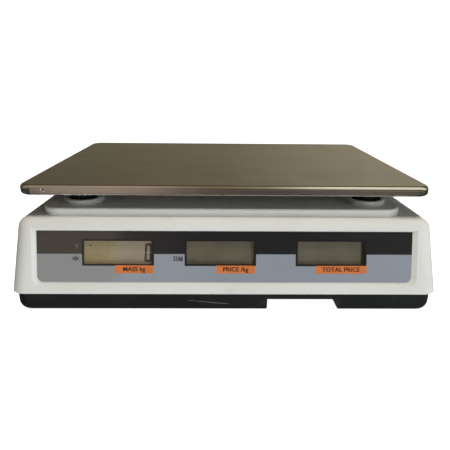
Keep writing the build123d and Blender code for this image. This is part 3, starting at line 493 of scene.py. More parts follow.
def mouldedPlastic(name, base, dark, warm, grain, rough, bumpShare, specks=0.0):
    # injection moulded ABS with a spark-eroded grain, slightly uneven in tone
    finish = Finish(name, Specular_IOR_Level=0.42)
    cloud = finish.noise(9.0, 4.0).rise(0.35, 0.7)
    grime = finish.noise(38.0, 6.0, 0.65, 0.6).rise(0.52, 0.78)
    fine = finish.noise(grain, 2.0, 0.5)
    tone = finish.mix(cloud, base, warm)
    tone = finish.mix(grime * 0.35, tone, dark)
    if specks:
        dust = finish.cells(420.0).rise(0.02, 0.07, 1.0, 0.0) * finish.noise(60.0).rise(0.55, 0.68)
        tone = finish.mix(dust * specks, tone, (0.32, 0.31, 0.28, 1))
    finish.colour(tone)
    finish.rough(rough + 0.12 * (fine - 0.5) + 0.08 * grime)
    pits = finish.cells(grain * 0.55).rise(0.1, 0.55)
    finish.bump(fine * 0.6 + pits * 0.4, bumpShare, 0.00008)
    return finish


def housingPlastic():
    finish = mouldedPlastic(
        "housingPlastic",
        linear(233, 231, 226),
        linear(211, 207, 197),
        linear(228, 225, 218),
        2600.0,
        0.46,
        0.28,
    )
    return finish.material


trayScratch = {
    "x": (-32, 5),
    "z": (17, 14),
    "width": 0.32,
    "fade": (4, 6),  # over which its two ends die away
    "waver": 1.2,
    "frontY": -160,
}


def trayPlastic():
    finish = Finish("trayPlastic", Specular_IOR_Level=0.4)
    fine = finish.noise(2200.0, 2.0, 0.5)
    cloud = finish.noise(14.0, 4.0).rise(0.35, 0.72)
    dust = finish.noise(55.0, 7.0, 0.7, 0.4).rise(0.55, 0.85)
    tone = finish.mix(cloud, linear(19, 21, 24), linear(25, 27, 30))
    tone = finish.mix(dust * 0.25, tone, linear(92, 88, 80))
    # one pale scratch along the front wall
    startX, endX = (x * mm for x in trayScratch["x"])
    startZ, endZ = (z * mm for z in trayScratch["z"])
    slope = (endZ - startZ) / (endX - startX)
    acrossX = finish.along((1, 0, 0))
    waver = trayScratch["waver"] * mm * (finish.noise(60.0, 1.0) - 0.5)
    offLine = abs(finish.along((-slope, 0, 1), startZ - slope * startX) + waver)
    halfWidth = trayScratch["width"] * mm
    fadeIn, fadeOut = (length * mm for length in trayScratch["fade"])
    line = offLine.rise(halfWidth * 0.3, halfWidth, 1.0, 0.0)
    line = line * acrossX.rise(startX, startX + fadeIn) * acrossX.rise(endX - fadeOut, endX, 1.0, 0.0)
    line = line * finish.along((0, -1, 0), -trayScratch["frontY"] * mm).rise(0.0, 1.0 * mm)
    line = line * finish.noise(700.0, 2.0).rise(0.25, 0.5)
    tone = finish.mix(line * 0.75, tone, linear(150, 148, 142))
    finish.colour(tone)
    finish.rough(0.44 + 0.14 * (fine - 0.5) + 0.25 * dust)
    finish.bump(fine, 0.3, 0.00008)
    return finish.material


# places of the platter's painted glints and of its chip, which is drawn as a painted highlight and a
# painted dark reflection
platterWear = {
    "chip": (-148.2, -148.0, 106.6),
    "burrGlints": (-136, -88),
    "burrTop": 103.6,
    "hemGlintTop": 102.6,
    "hairs": ((0.06, 1.0), (0.9, 0.8), (-0.7, 0.8), (1.5, 0.55), (2.3, 0.6)),  # turn and strength
}


def stainlessSheet():
    # thin polished stainless: hairlines in several directions, wiped smears, and at the rim painted
    # glints and a chip drawn as a painted highlight and a painted dark reflection
    finish = Finish("stainlessSheet", IOR=2.6)
    hairs = None
    for turn, amount in platterWear["hairs"]:
        lines = finish.noise(1.0, 2.0, 0.6, 0.0, finish.turned((22, 2600, 900), (0, 0, turn)))
        cut = lines.rise(0.64, 0.76) * amount
        hairs = cut if hairs is None else hairs.most(cut)
    smear = finish.noise(14.0, 5.0, 0.6, 1.2).rise(0.42, 0.7)
    wipe = finish.noise(1.0, 3.0, 0.6, 0.6, finish.turned((8, 40, 8), (0, 0, 0.35))).rise(0.45, 0.75)
    tone = finish.mix(smear * 0.5, (0.66, 0.63, 0.585, 1), (0.58, 0.55, 0.50, 1))
    tone = finish.mix(hairs * 0.35, tone, (0.80, 0.79, 0.77, 1))
    # painted burr glints along the lower edge of the skirt, most of them at the left of its front
    height = finish.along((0, 0, 1))
    leftX, rightX = (side * mm for side in platterWear["burrGlints"])
    across = finish.along((1, 0, 0))
    here = across.rise(leftX, leftX + 8 * mm) * across.rise(rightX - 12 * mm, rightX, 1.0, 0.0)
    burrTop, hemGlintTop = platterWear["burrTop"] * mm, platterWear["hemGlintTop"] * mm
    low = height.rise(burrTop - 1.2 * mm, burrTop, 1.0, 0.0)
    burrGlints = finish.noise(620.0, 3.0, 0.6).rise(0.53, 0.60) * low * here
    # pale specks along the hem, also painted glints
    dust = finish.noise(900.0, 2.0).rise(0.64, 0.75) * height.rise(hemGlintTop - mm, hemGlintTop, 1.0, 0.0)
    white = burrGlints.most(dust * 0.6)
    # a chip in the bend, drawn in paint: a painted dark bluish reflection inside it and a painted
    # highlight round its edge
    off = finish.reach(platterWear["chip"]) + 1.2 * mm * (finish.noise(500.0, 2.0) - 0.5)
    lipGlint = off.rise(1.1 * mm, 1.5 * mm) * off.rise(1.7 * mm, 2.1 * mm, 1.0, 0.0)
    pitReflection = off.rise(0.9 * mm, 1.3 * mm, 1.0, 0.0)
    white = white.most(lipGlint * finish.noise(700.0, 2.0).rise(0.45, 0.6) * 0.8)
    tone = finish.mix(white, tone, (0.86, 0.84, 0.80, 1))
    tone = finish.mix(pitReflection, tone, (0.03, 0.045, 0.08, 1))
    # the painted glints and the chip's painted reflection are not metallic
    finish.feed(finish.shader.inputs["Metallic"], 1.0 - white.most(pitReflection))
    finish.colour(tone)
    finish.rough(0.13 + 0.06 * smear + 0.05 * wipe + 0.14 * hairs)
    wave = finish.noise(5.0, 1.0, 0.4)
    grain = finish.noise(1.0, 2.0, 0.6, 0.0, finish.turned((60, 1800, 1800)))
    finish.bump(hairs * 0.25 + grain * 0.12 + wave * 4.0, 0.2, 0.0001)
    return finish.material


def rubber(name, base, dusty, rough=0.7):
    finish = Finish(name, Specular_IOR_Level=0.3)
    dust = finish.noise(90.0, 6.0, 0.7).rise(0.45, 0.8)
    fine = finish.noise(1600.0, 3.0, 0.6)
    finish.colour(finish.mix(dust * 0.5, base, dusty))
    finish.rough(rough + 0.15 * (fine - 0.5))
    finish.bump(fine * 0.7 + finish.cells(700.0) * 0.3, 0.35, 0.0001)
    return finish.material


def castMetal(name, base, pale, rough, grain):
    finish = Finish(name, Metallic=1.0)
    fine = finish.noise(grain, 3.0, 0.6)
    stain = finish.noise(30.0, 5.0, 0.6, 0.8).rise(0.4, 0.75)
    finish.colour(finish.mix(stain, base, pale))
    finish.rough(rough + 0.16 * (fine - 0.5) + 0.1 * stain)
    finish.bump(fine, 0.3, 0.0001)
    return finish.material


def platedSteel(name, base, tarnish, rough=0.28):
    finish = Finish(name, Metallic=1.0)
    turning = finish.noise(1.0, 2.0, 0.5, 0.0, finish.turned((700, 700, 4000)))
    patch = finish.noise(120.0, 4.0).rise(0.45, 0.75)
    finish.colour(finish.mix(patch * 0.7, base, tarnish))
    finish.rough(rough + 0.12 * turning + 0.1 * patch)
    finish.bump(turning, 0.2, 0.00006)
    return finish.material


def plainSatin(name, base, other, rough=0.45, grain=1500.0, coat=0.0):
    finish = Finish(name, Coat_Weight=coat, Coat_Roughness=0.08)
    patch = finish.noise(45.0, 5.0, 0.6, 0.5).rise(0.4, 0.75)
    fine = finish.noise(grain, 2.0)
    finish.colour(finish.mix(patch, base, other))
    finish.rough(rough + 0.12 * (fine - 0.5) + 0.06 * patch)
    finish.bump(fine, 0.22, 0.00008)
    return finish.material


panelPrint = {
    "windows": (-88.0, -4.2, 87.2),
    "windowHalf": (27.75, 9.4),
    "outline": 1.75,
    "splitSoft": 0.08,
    "paintedReflection": (-84.0, -66.0),  # across which the painted reflection at the left end fades
}


def panelFace(finish, start, across, upward):
    # distances along a display panel: across it and up it, from its middle
    start = Vector(start) * mm
    u = finish.along(across, start.dot(Vector(across)))
    v = finish.along(upward, start.dot(Vector(upward)))
    return u, v


def overlayPrint(name, start, across, upward, windowUp, splitUp):
    # printed film: near-black upper band, blue-grey lower band, black lines round the windows, and a
    # painted reflection at its left end
    finish = Finish(name, Coat_Weight=1.0, Coat_Roughness=0.05, Specular_IOR_Level=0.5)
    u, v = panelFace(finish, start, across, upward)
    halfWide, halfHigh = (side * mm for side in panelPrint["windowHalf"])
    edge = panelPrint["outline"] * mm
    line = None
    for centre in panelPrint["windows"]:
        besideIt = abs(u - centre * mm) - halfWide
        aboveIt = abs(v - windowUp * mm) - halfHigh
        off = besideIt.most(aboveIt).most((besideIt + aboveIt) * 0.6)
        ring = off.rise(edge * 0.85, edge, 1.0, 0.0)
        line = ring if line is None else line.most(ring)
    soft = panelPrint["splitSoft"]
    upper = v.rise((splitUp - soft) * mm, (splitUp + soft) * mm)
    ink = finish.noise(1900.0, 2.0)
    stipple = finish.noise(260.0, 3.0)
    haze = finish.noise(11.0, 4.0, 0.6, 0.8)
    # painted reflection: the film is painted paler and warmer at its left end, where it mirrors a bright
    # warm wall
    reflectionFull, reflectionFade = (side * mm for side in panelPrint["paintedReflection"])
    paintedReflection = (u + haze * 0.03).rise(reflectionFull, reflectionFade, 1.0, 0.0)
    grey = finish.mix(stipple, linear(148, 154, 163), linear(155, 160, 168))
    grey = finish.mix(haze.rise(0.3, 0.8) * 0.5, grey, linear(140, 145, 155))
    grey = finish.mix(paintedReflection * 0.7, grey, linear(143, 140, 136))
    black = finish.mix(stipple, linear(25, 26, 29), linear(31, 32, 35))
    black = finish.mix(paintedReflection * 0.8, black, linear(66, 61, 54))
    tone = finish.mix(upper, grey, black)
    tone = finish.mix(line, tone, linear(20, 20, 20))
    wipe = finish.noise(1.0, 3.0, 0.6, 0.5, finish.turned((30, 30, 240)))
    finish.colour(tone)
    finish.rough(0.30 + 0.10 * (ink - 0.5) + 0.12 * wipe.rise(0.5, 0.8))
    finish.bump(ink * 0.5 + finish.noise(130.0, 2.0) * 0.8, 0.12, 0.00005)
    return finish.material


def clearPane(name, tint=(1, 1, 1, 1), gloss=0.05):
    # thin clear plastic: the light behind it comes through, a sheen lies over it
    finish = Finish(name)
    tree = finish.tree
    tree.nodes.remove(finish.shader)
    scuff = finish.noise(500.0, 4.0, 0.7).rise(0.6, 0.85)
    through = tree.nodes.new("ShaderNodeBsdfTransparent")
    through.inputs["Color"].default_value = tint
    sheen = tree.nodes.new("ShaderNodeBsdfGlossy")
    sheen.inputs["Roughness"].default_value = gloss
    both = tree.nodes.new("ShaderNodeMixShader")
    # only the faces turned outward have a sheen, or the far side would mirror from inside
    edgeOn = finish.node("ShaderNodeFresnel", {}, {"IOR": 1.46})
    inside = finish.node("ShaderNodeNewGeometry", output="Backfacing")
    finish.feed(both.inputs[0], (edgeOn + scuff * 0.02) * (1.0 - inside))
    tree.links.new(through.outputs[0], both.inputs[1])
    tree.links.new(sheen.outputs[0], both.inputs[2])
    tree.links.new(both.outputs[0], tree.nodes["Material Output"].inputs["Surface"])
    return finish.material


def displayGlass(name, start, across, upward):
    # reflective liquid crystal display; the left display is painted lighter and warmer, a painted
    # reflection of a bright warm wall
    finish = Finish(name, Coat_Weight=0.5, Coat_Roughness=0.12, Specular_IOR_Level=0.4)
    u = panelFace(finish, start, across, upward)[0]
    # side is 0 at the left display, which carries the painted reflection, and 1 further right
    side = u.rise(-62 * mm, -45 * mm)
    paleness = finish.noise(1.0, 2.0, 0.5, 0.3, finish.turned((70, 25, 45), (0, 0.5, 0)))
    fine = finish.noise(3200.0, 1.0)
    # warm: the left display's tone, lightened by the painted reflection
    warm = finish.mix(u.rise(-94 * mm, -86 * mm), linear(162, 145, 106), linear(163, 149, 126))
    warm = finish.mix(paleness.rise(0.3, 0.7) * 0.5, warm, linear(176, 162, 134))
    cool = finish.mix(paleness.rise(0.3, 0.7), linear(107, 101, 83), linear(115, 108, 90))
    tone = finish.mix(side, warm, cool)
    tone = finish.mix(fine.rise(0.45, 0.75) * 0.18, tone, linear(62, 60, 48))
    finish.colour(tone)
    finish.rough(0.34 + 0.08 * fine)
    finish.bump(fine, 0.06, 0.00003)
    return finish.material


def circuitBoard():
    finish = Finish("circuitBoard", Coat_Weight=0.4, Coat_Roughness=0.2)
    tracks = finish.cells(260.0, None, feature="DISTANCE_TO_EDGE").rise(0.03, 0.06, 1.0, 0.0)
    weave = finish.noise(1400.0, 2.0)
    base = finish.mix(weave, linear(24, 70, 44), linear(30, 82, 52))
    finish.colour(finish.mix(tracks * 0.5, base, linear(48, 104, 66)))
    finish.rough(0.4 + 0.1 * weave)
    finish.bump(tracks * 0.6 + weave * 0.2, 0.25, 0.00006)
    return finish.material


def transformerIron():
    # stacked laminations, varnished
    finish = Finish("transformerIron", Metallic=0.7, Coat_Weight=0.3, Coat_Roughness=0.3)
    stack = finish.node(
        "ShaderNodeTexWave",
        {"wave_type": "BANDS", "bands_direction": "X"},
        {"Vector": finish.place(), "Scale": 320.0, "Distortion": 0.4},
        output="Fac",
    )
    stain = finish.noise(60.0, 5.0).rise(0.4, 0.75)
    finish.colour(finish.mix(stain, linear(92, 88, 82), linear(116, 96, 72)))
    finish.rough(0.45 + 0.2 * stain)
    finish.bump(stack, 0.4, 0.0001)
    return finish.material


finishes = {
    "housing_plastic": housingPlastic(),
    "tray_plastic": trayPlastic(),
    "stainless": stainlessSheet(),
    "rubber": rubber("rubberPad", linear(26, 26, 27), linear(70, 67, 60)),
    "silicone": rubber("siliconeMat", linear(120, 124, 128), linear(142, 144, 146), 0.55),
    "circuit_board": circuitBoard(),
    "component_black": plainSatin("componentBlack", linear(24, 24, 26), linear(36, 36, 38), 0.38),
    "switch_red": plainSatin("switchRed", linear(178, 30, 26), linear(160, 26, 24), 0.3, 1500.0, 0.3),
    "aluminium": castMetal("castAluminium", (0.60, 0.60, 0.60, 1), (0.70, 0.70, 0.69, 1), 0.42, 900.0),
    "zinc_steel": platedSteel("zincSteel", (0.62, 0.63, 0.64, 1), (0.50, 0.49, 0.45, 1)),
    "brass": platedSteel("brassInsert", (0.72, 0.53, 0.24, 1), (0.55, 0.40, 0.20, 1), 0.32),
    "foot_plastic": plainSatin("footPlastic", linear(28, 28, 30), linear(44, 44, 45), 0.42),
    "battery_case": plainSatin("batteryCase", linear(52, 54, 58), linear(66, 68, 70), 0.5),
    "transformer_iron": transformerIron(),
    "keypad_grey": plainSatin("keypadGrey", linear(110, 116, 126), linear(120, 126, 135), 0.5),
    "key_white": plainSatin("keyWhite", linear(222, 220, 213), linear(212, 209, 200), 0.42),
    "key_orange": plainSatin("keyOrange", linear(222, 122, 56), linear(208, 110, 50), 0.42),
    "key_blue": plainSatin("keyBlue", linear(96, 122, 160), linear(86, 112, 150), 0.42),
    "cable_grey": plainSatin("cableGrey", linear(128, 128, 130), linear(146, 146, 146), 0.5),
    "lead_red": plainSatin("leadRed", linear(172, 34, 30), linear(150, 30, 28), 0.42),
    "window_plastic": clearPane("windowPane"),
    "vial_plastic": clearPane("vialPane", (0.93, 0.97, 0.93, 1), 0.08),
    "vial_fluid": plainSatin("vialFluid", linear(170, 206, 60), linear(186, 216, 80), 0.12, 900.0, 0.6),
}

panels = {
    "customer": {
        "start": (0.0, -164.01, 54.6),
        "across": (1.0, 0.0, 0.0),
        "upward": (0.0, math.sin(math.radians(16.0)), math.cos(math.radians(16.0))),
        "turn": 0.0,
        "lean": 74.0,
        "windowUp": 3.4,
        "splitUp": 2.18,
    },
    "operator": {
        "start": (0.0, 104.66, 73.72),
        "across": (-1.0, 0.0, 0.0),
        "upward": (0.0, -math.cos(math.radians(31.14)), math.sin(math.radians(31.14))),
        "turn": 180.0,
        "lean": 31.14,
        "windowUp": 0.0,
        "splitUp": -9.9,
    },
}

for side, panel in panels.items():
    panel["print"] = overlayPrint(
        side + "Print",
        panel["start"],
        panel["across"],
        panel["upward"],
        panel["windowUp"],
        panel["splitUp"],
    )
    panel["glass"] = displayGlass(
        side + "Glass", panel["start"], panel["across"], panel["upward"]
    )

for name, node in nodes.items():
    slotName = node.data.materials[0].name
    if slotName == "overlay_print":
        node.material_slots[0].material = panels[name.split("_")[0]]["print"]
    elif slotName == "lcd":
        node.material_slots[0].material = panels[name.split("_")[0]]["glass"]
    else:
        node.material_slots[0].material = finishes[slotName]
print("finishes given to", len(nodes), "nodes")


platterSheet = {
    "size": (341.0, 230.0),
    "middle": (0.0, -33.0),
    "top": 110.0,
    "low": 101.5,
    "corner": 12.0,
    "bend": 3.5,
    "sheet": 0.9,
    "foldRadius": 2.0,
    "foldSteps": 6,
    "hem": 4.0,
}


def makePlatter():
    wide, deep = (side * mm for side in platterSheet["size"])
    middleX, middleY = (side * mm for side in platterSheet["middle"])
    top, low = platterSheet["top"] * mm, platterSheet["low"] * mm
    fold = platterSheet["foldRadius"] * mm
    skirtLow = low + fold
    bpy.ops.mesh.primitive_cube_add(
        size=1,
        location=(middleX, middleY, (top + skirtLow) / 2),
        scale=(wide, deep, top - skirtLow),
    )
    piece = settle(newest("platterSheet"))
    pickParts(piece, "EDGE", lambda middle, run: abs(run.z) > 0.5 * (top - skirtLow))
    bpy.ops.mesh.bevel(offset=platterSheet["corner"] * mm, segments=14, affect="EDGES")
    pickParts(piece, "EDGE", lambda middle, run: middle.z > top - tiny)
    bpy.ops.mesh.bevel(offset=platterSheet["bend"] * mm, segments=8, affect="EDGES")
    pickParts(piece, "FACE", lambda middle, normal: normal.z < -0.9)
    bpy.ops.mesh.delete(type="FACE")
    # the lower edge is rolled under and folded back up inside
    pickParts(piece, "EDGE", lambda middle, run: middle.z < skirtLow + tiny and abs(run.z) < tiny)
    steps = platterSheet["foldSteps"]
    inNow, downNow = 0.0, 0.0
    for step in range(1, steps + 1):
        angle = math.pi * step / steps
        inNext = fold * (1 - math.cos(angle))
        downNext = fold * math.sin(angle)
        bpy.ops.mesh.extrude_region_move(
            TRANSFORM_OT_translate={"value": (0, 0, downNow - downNext)}
        )
        bpy.ops.transform.resize(
            value=((wide - 2 * inNext) / (wide - 2 * inNow), (deep - 2 * inNext) / (deep - 2 * inNow), 1),
            center_override=(middleX, middleY, low),
        )
        inNow, downNow = inNext, downNext
    bpy.ops.mesh.extrude_region_move(
        TRANSFORM_OT_translate={"value": (0, 0, platterSheet["hem"] * mm - fold)}
    )
    bpy.ops.object.mode_set(mode="OBJECT")
    wall = piece.modifiers.new("sheet", "SOLIDIFY")
    wall.thickness = platterSheet["sheet"] * mm
    wall.offset = -1
    pick(piece)
    bpy.ops.object.modifier_apply(modifier="sheet")
    smoothly(piece, 40)
    return finishPiece(piece, "platter", finishes["stainless"])


platterPiece = makePlatter()
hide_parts("platter")
print("platter made")


footPad = {
    "radius": 10.0,
    "height": 4.0,
    "edge": 0.7,
    "rings": (7.6, 5.6, 3.6),
    "groove": (0.7, 0.6, 0.15),  # depth, width of the floor and width of each side
}


def makeFootPads():
    radius, height = footPad["radius"] * mm, footPad["height"] * mm
    bpy.ops.mesh.primitive_cylinder_add(
        vertices=48, radius=radius, depth=height, location=(0, 0, height / 2)
    )
    master = settle(newest("footPad"))
    pickParts(master, "EDGE", lambda middle, run: abs(run.z) < tiny)
    bpy.ops.mesh.bevel(offset=footPad["edge"] * mm, segments=3, affect="EDGES")
    # rings of tread on the face that stands on the bench
    pickParts(master, "FACE", lambda middle, normal: normal.z < -0.99 and middle.z < tiny)
    reach = radius - footPad["edge"] * mm
    deep, floorWide, sideWide = (side * mm for side in footPad["groove"])
    for ring in footPad["rings"]:
        bpy.ops.mesh.inset(thickness=reach - ring * mm)
        bpy.ops.mesh.inset(thickness=sideWide)
        bpy.ops.transform.translate(value=(0, 0, deep))
        bpy.ops.mesh.inset(thickness=floorWide)
        bpy.ops.mesh.inset(thickness=sideWide)
        bpy.ops.transform.translate(value=(0, 0, -deep))
        reach = ring * mm - floorWide - 2 * sideWide
    bpy.ops.object.mode_set(mode="OBJECT")
    smoothly(master, 40)
    for number in (1, 2, 3, 4):
        body = "foot_pad_" + str(number)
        low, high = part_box(body)
        middle = (low + high) / 2
        pad = copyPiece(master, "footPad" + str(number), Matrix.Translation((middle.x, middle.y, 0)))
        finishPiece(pad, body, finishes["rubber"])
        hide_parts(body)
    bpy.data.objects.remove(master)


makeFootPads()
print("feet made")


inkBlack = plainSatin("inkBlack", linear(26, 24, 24), linear(34, 31, 30), 0.45, 2000.0)
inkPale = plainSatin("inkPale", linear(126, 123, 118), linear(112, 109, 104), 0.45, 2000.0)
keyInk = plainSatin("keyInk", linear(226, 224, 218), linear(214, 212, 204), 0.42, 2000.0)
labelInk = plainSatin("labelInk", linear(54, 30, 20), linear(62, 36, 24), 0.45, 2000.0)
labelOrange = plainSatin("labelOrange", linear(222, 126, 66), linear(208, 114, 58), 0.4, 1800.0, 0.35)
segmentInk = plainSatin("segmentInk", linear(62, 61, 50), linear(72, 70, 58), 0.4, 2400.0)
glassEdge = plainSatin("glassEdge", linear(56, 52, 42), linear(66, 61, 48), 0.4, 2400.0)

panelLook = {
    "filmFront": -1.1,
    "glassFront": -3.8,
    "printThick": 0.04,
    "labels": (
        ("MASS kg", -75.0, 31.6),
        ("PRICE /kg", 8.35, 31.9),
        ("TOTAL PRICE", 95.55, 42.1),
    ),
    "labelUp": {"customer": -10.5, "operator": -12.1},
    "labelHigh": {"customer": 6.6, "operator": 4.6},
    "wordSize": {"customer": 5.2, "operator": 4.2},
    "labelPlate": (0.06, 0.35),  # thickness and corner
    "wordSpread": 0.13,
    # words, size, place across and narrowing of the small marks beside the windows
    "marks": ((">0<", 5.4, -122.6, 0.66), ("STAB", 5.4, -38.9, 0.62)),
    "markDown": 5.3,
    "markSpread": 0.16,
    "paleMark": ("T", 4.8, -121.6, 4.4),
    "pointers": ((-111.2, 5.6), (-27.0, -6.7)),  # across, and up from the window's middle
    "pointerSize": 1.0,
    "strip": (114.2, 3.4, 19.6),  # dark end of the third display: across, width and height
    "dashes": 7,
    "dashStep": 2.4,
    "dash": (114.5, 0.9, 1.5),
    "plate": (0.03, 0.1),
}


def panelPlace(side):
    panel = panels[side]
    return (
        Matrix.Translation(Vector(panel["start"]) * mm)
        @ Matrix.Rotation(math.radians(panel["turn"]), 4, "Z")
        @ Matrix.Rotation(math.radians(panel["lean"]), 4, "X")
    )


def makeWords(name, words, size, u, v, w, place, bold=0.0, narrow=1.0):
    # flat lettering, its middle at (u, v), lying w above the plane of place
    bpy.ops.object.text_add(location=(0, 0, 0))
    piece = newest(name)
    piece.data.body = words
    piece.data.size = size * mm
    piece.data.align_x = "CENTER"
    piece.data.align_y = "CENTER"
    piece.data.resolution_u = 4
    piece.data.offset = bold * mm
    piece.data.extrude = panelLook["printThick"] * mm / 2
    pick(piece)
    bpy.ops.object.convert(target="MESH")
    piece = newest(name)
    slim = Matrix.Scale(narrow, 4, (1, 0, 0))
    piece.data.transform(place @ Matrix.Translation((u * mm, v * mm, w * mm)) @ slim)
    return piece


def makeHeavy(name, words, size, u, v, w, place, spread, narrow=1.0):
    # heavy lettering: copies a little apart, so that the strokes of each letter grow wider
    layers = []
    for step in (-1, 0, 1):
        above = w + 0.004 * (step + 1)
        layers.append(
            makeWords(name, words, size, u + step * spread, v, above, place, 0.03, narrow)
        )
    return joinAll(layers, name)


def makePlate(name, u, v, w, wide, high, thick, corner, place):
    # a thin plate with rounded corners, its back at w
    bpy.ops.mesh.primitive_cube_add(
        size=1,
        location=(u * mm, v * mm, (w + thick / 2) * mm),
        scale=(wide * mm, high * mm, thick * mm),
    )
    piece = settle(newest(name))
    pickParts(piece, "EDGE", lambda middle, run: abs(run.z) > 0.5 * thick * mm)
    bpy.ops.mesh.bevel(offset=corner * mm, segments=3, affect="EDGES")
    bpy.ops.object.mode_set(mode="OBJECT")
    piece.data.transform(place)
    return piece


digitLook = {
    "wide": 6.1,
    "high": 15.4,
    "stroke": 1.9,
    "gap": 0.3,
    "slant": 0.055,
    "right": -63.6,
    "above": -0.47,
    "thick": 0.03,
    "zero": "abcdef",
}


def makeStroke(long, square):
    # one display segment along X with its outer side at +Y; square lists the ends, -1 or 1,
    # whose outer corner runs on to the corner of the digit
    half = digitLook["stroke"] * mm / 2
    bpy.ops.mesh.primitive_circle_add(vertices=6, radius=half * 2 / math.sqrt(3), fill_type="NGON")
    piece = newest("stroke")
    bpy.ops.object.mode_set(mode="EDIT")
    bpy.ops.mesh.select_all(action="SELECT")
    bpy.ops.mesh.extrude_region_move(
        TRANSFORM_OT_translate={"value": (0, 0, digitLook["thick"] * mm)}
    )
    bpy.ops.object.mode_set(mode="OBJECT")
    piece.data.transform(Matrix.Rotation(math.radians(30), 4, "Z"))
    for vertex in piece.data.vertices:
        end = math.copysign(1, vertex.co.x)
        vertex.co.x += end * (long / 2 - half)
        if vertex.co.y > half / 2 and end in square:
            vertex.co.x = end * (long / 2 + half * 0.85)
    return piece


def digitParts():
    # the seven segments by letter: a top, b and c right, d bottom, e and f left, g middle;
    # each has its ends with a square corner and its place
    wide = (digitLook["wide"] - digitLook["stroke"]) * mm
    high = (digitLook["high"] - digitLook["stroke"]) * mm
    right = Matrix.Rotation(math.radians(-90), 4, "Z")
    left = Matrix.Rotation(math.radians(90), 4, "Z")
    under = Matrix.Rotation(math.radians(180), 4, "Z")
    return {
        "a": ((-1, 1), Matrix.Translation((0, high / 2, 0))),
        "b": ((-1,), Matrix.Translation((wide / 2, high / 4, 0)) @ right),
        "c": ((1,), Matrix.Translation((wide / 2, -high / 4, 0)) @ right),
        "d": ((-1, 1), Matrix.Translation((0, -high / 2, 0)) @ under),
        "e": ((-1,), Matrix.Translation((-wide / 2, -high / 4, 0)) @ left),
        "f": ((1,), Matrix.Translation((-wide / 2, high / 4, 0)) @ left),
        "g": ((), Matrix.Identity(4)),
    }


def makeDigit(name, parts, u, v, w, place):
    # a digit from the named segments, leaning a little to the right
    gap = digitLook["gap"] * mm
    flat = (digitLook["wide"] - digitLook["stroke"]) * mm - gap
    tall = (digitLook["high"] - digitLook["stroke"]) * mm / 2 - gap
    places = digitParts()
    made = []
    for part in parts:
        square, where = places[part]
        stroke = makeStroke(flat if part in "adg" else tall, square)
        stroke.data.transform(where)
        made.append(stroke)
    digit = joinAll(made, name)
    lean = Matrix.Identity(4)
    lean[0][1] = digitLook["slant"]
    digit.data.transform(place @ Matrix.Translation((u * mm, v * mm, w * mm)) @ lean)
    return digit


def makeTriangle(name, u, v, w, size, place):
    bpy.ops.mesh.primitive_circle_add(vertices=3, radius=size * mm, fill_type="NGON")
    piece = newest(name)
    bpy.ops.object.mode_set(mode="EDIT")
    bpy.ops.mesh.select_all(action="SELECT")
    bpy.ops.mesh.extrude_region_move(
        TRANSFORM_OT_translate={"value": (0, 0, digitLook["thick"] * mm)}
    )
    bpy.ops.object.mode_set(mode="OBJECT")
    quarter = Matrix.Rotation(math.radians(90), 4, "Z")
    piece.data.transform(place @ Matrix.Translation((u * mm, v * mm, w * mm)) @ quarter)
    return piece


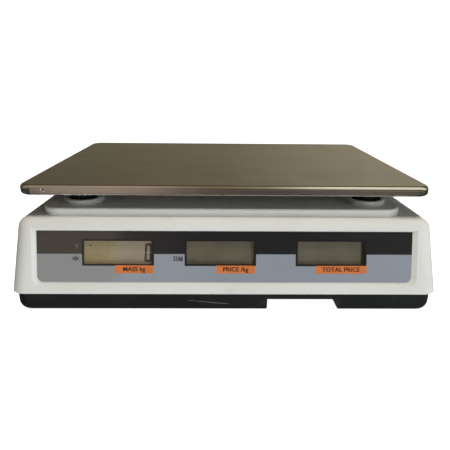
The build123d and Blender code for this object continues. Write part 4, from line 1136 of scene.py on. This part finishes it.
def makePanel(side):
    place = panelPlace(side)
    film = panelLook["filmFront"] + 0.005
    glass = panelLook["glassFront"] + 0.01
    labelUp = panelLook["labelUp"][side]
    high = panelLook["labelHigh"][side]
    plates, words = [], []
    thick, corner = panelLook["labelPlate"]
    size, spread = panelLook["wordSize"][side], panelLook["wordSpread"]
    for word, u, wide in panelLook["labels"]:
        plates.append(makePlate("label", u, labelUp, film, wide, high, thick, corner, place))
        above = film + thick + 0.02
        words.append(makeHeavy("word", word, size, u, labelUp, above, place, spread))
    labels = joinAll(plates, side + "Labels")
    finishPiece(labels, "base", labelOrange)
    finishPiece(joinAll(words, side + "Words"), "base", labelInk)
    rise = panels[side]["windowUp"]
    marks = []
    markUp, spread = rise - panelLook["markDown"], panelLook["markSpread"]
    for word, size, u, narrow in panelLook["marks"]:
        marks.append(makeHeavy("mark", word, size, u, markUp, film + 0.02, place, spread, narrow))
    finishPiece(joinAll(marks, side + "Marks"), "base", inkBlack)
    word, size, u, up = panelLook["paleMark"]
    pale = makeWords(side + "PaleMark", word, size, u, rise + up, film + 0.02, place)
    finishPiece(pale, "base", inkPale)
    # what the displays show: a mass of zero and two pointers
    digitUp = rise + digitLook["above"]
    lit = [makeDigit("digit", digitLook["zero"], digitLook["right"], digitUp, glass, place)]
    for u, up in panelLook["pointers"]:
        lit.append(makeTriangle("pointer", u, rise + up, glass, panelLook["pointerSize"], place))
    finishPiece(joinAll(lit, side + "Digits"), "base", segmentInk)
    # dark end of the third display, with the ends of its contacts
    thick, corner = panelLook["plate"]
    u, wide, high = panelLook["strip"]
    strip = makePlate(side + "GlassEdge", u, rise, glass, wide, high, thick, corner, place)
    finishPiece(strip, "base", glassEdge)
    u, wide, high = panelLook["dash"]
    dashes = []
    for step in range(panelLook["dashes"]):
        v = rise + (step - (panelLook["dashes"] - 1) / 2) * panelLook["dashStep"]
        dashes.append(makePlate("dash", u, v, glass + 0.04, wide, high, thick, corner, place))
    finishPiece(joinAll(dashes, side + "Contacts"), "base", segmentInk)


for side in panels:
    makePanel(side)
print("panels made")


keypad = {
    "legendSize": 7.4,
    "start": (0.0, 128.2, 59.5),
    "lean": 31.14,
    "pointUp": 2.4,
    "bold": 0.12,
    "words": {
        "zero": (">0<", 5.6),
        "tare": ("T", 7.4),
        "clear": ("C", 7.4),
        "memory": ("M", 7.0),
        "point": (".", 12.0),
    },
}


def makeLegends():
    place = (
        Matrix.Translation(Vector(keypad["start"]) * mm)
        @ Matrix.Rotation(math.radians(180), 4, "Z")
        @ Matrix.Rotation(math.radians(keypad["lean"]), 4, "X")
    )
    away = place.inverted()
    for body in frame["bodies"]:
        if not body.startswith("key_"):
            continue
        legend = body[4:]
        word, size = keypad["words"].get(legend, (legend, keypad["legendSize"]))
        points = [away @ vertex.co for vertex in nodes[body].data.vertices]
        u = (min(p.x for p in points) + max(p.x for p in points)) / 2 / mm
        v = (min(p.y for p in points) + max(p.y for p in points)) / 2 / mm
        w = max(p.z for p in points) / mm
        if legend == "point":
            v += keypad["pointUp"]
        piece = makeWords(body + "Legend", word, size, u, v, w + 0.005, place, keypad["bold"])
        slotName = nodes[body].data.materials[0].name
        ink = keyInk if slotName == "key_blue" else inkBlack
        finishPiece(piece, body, ink)


makeLegends()
print("legends made")
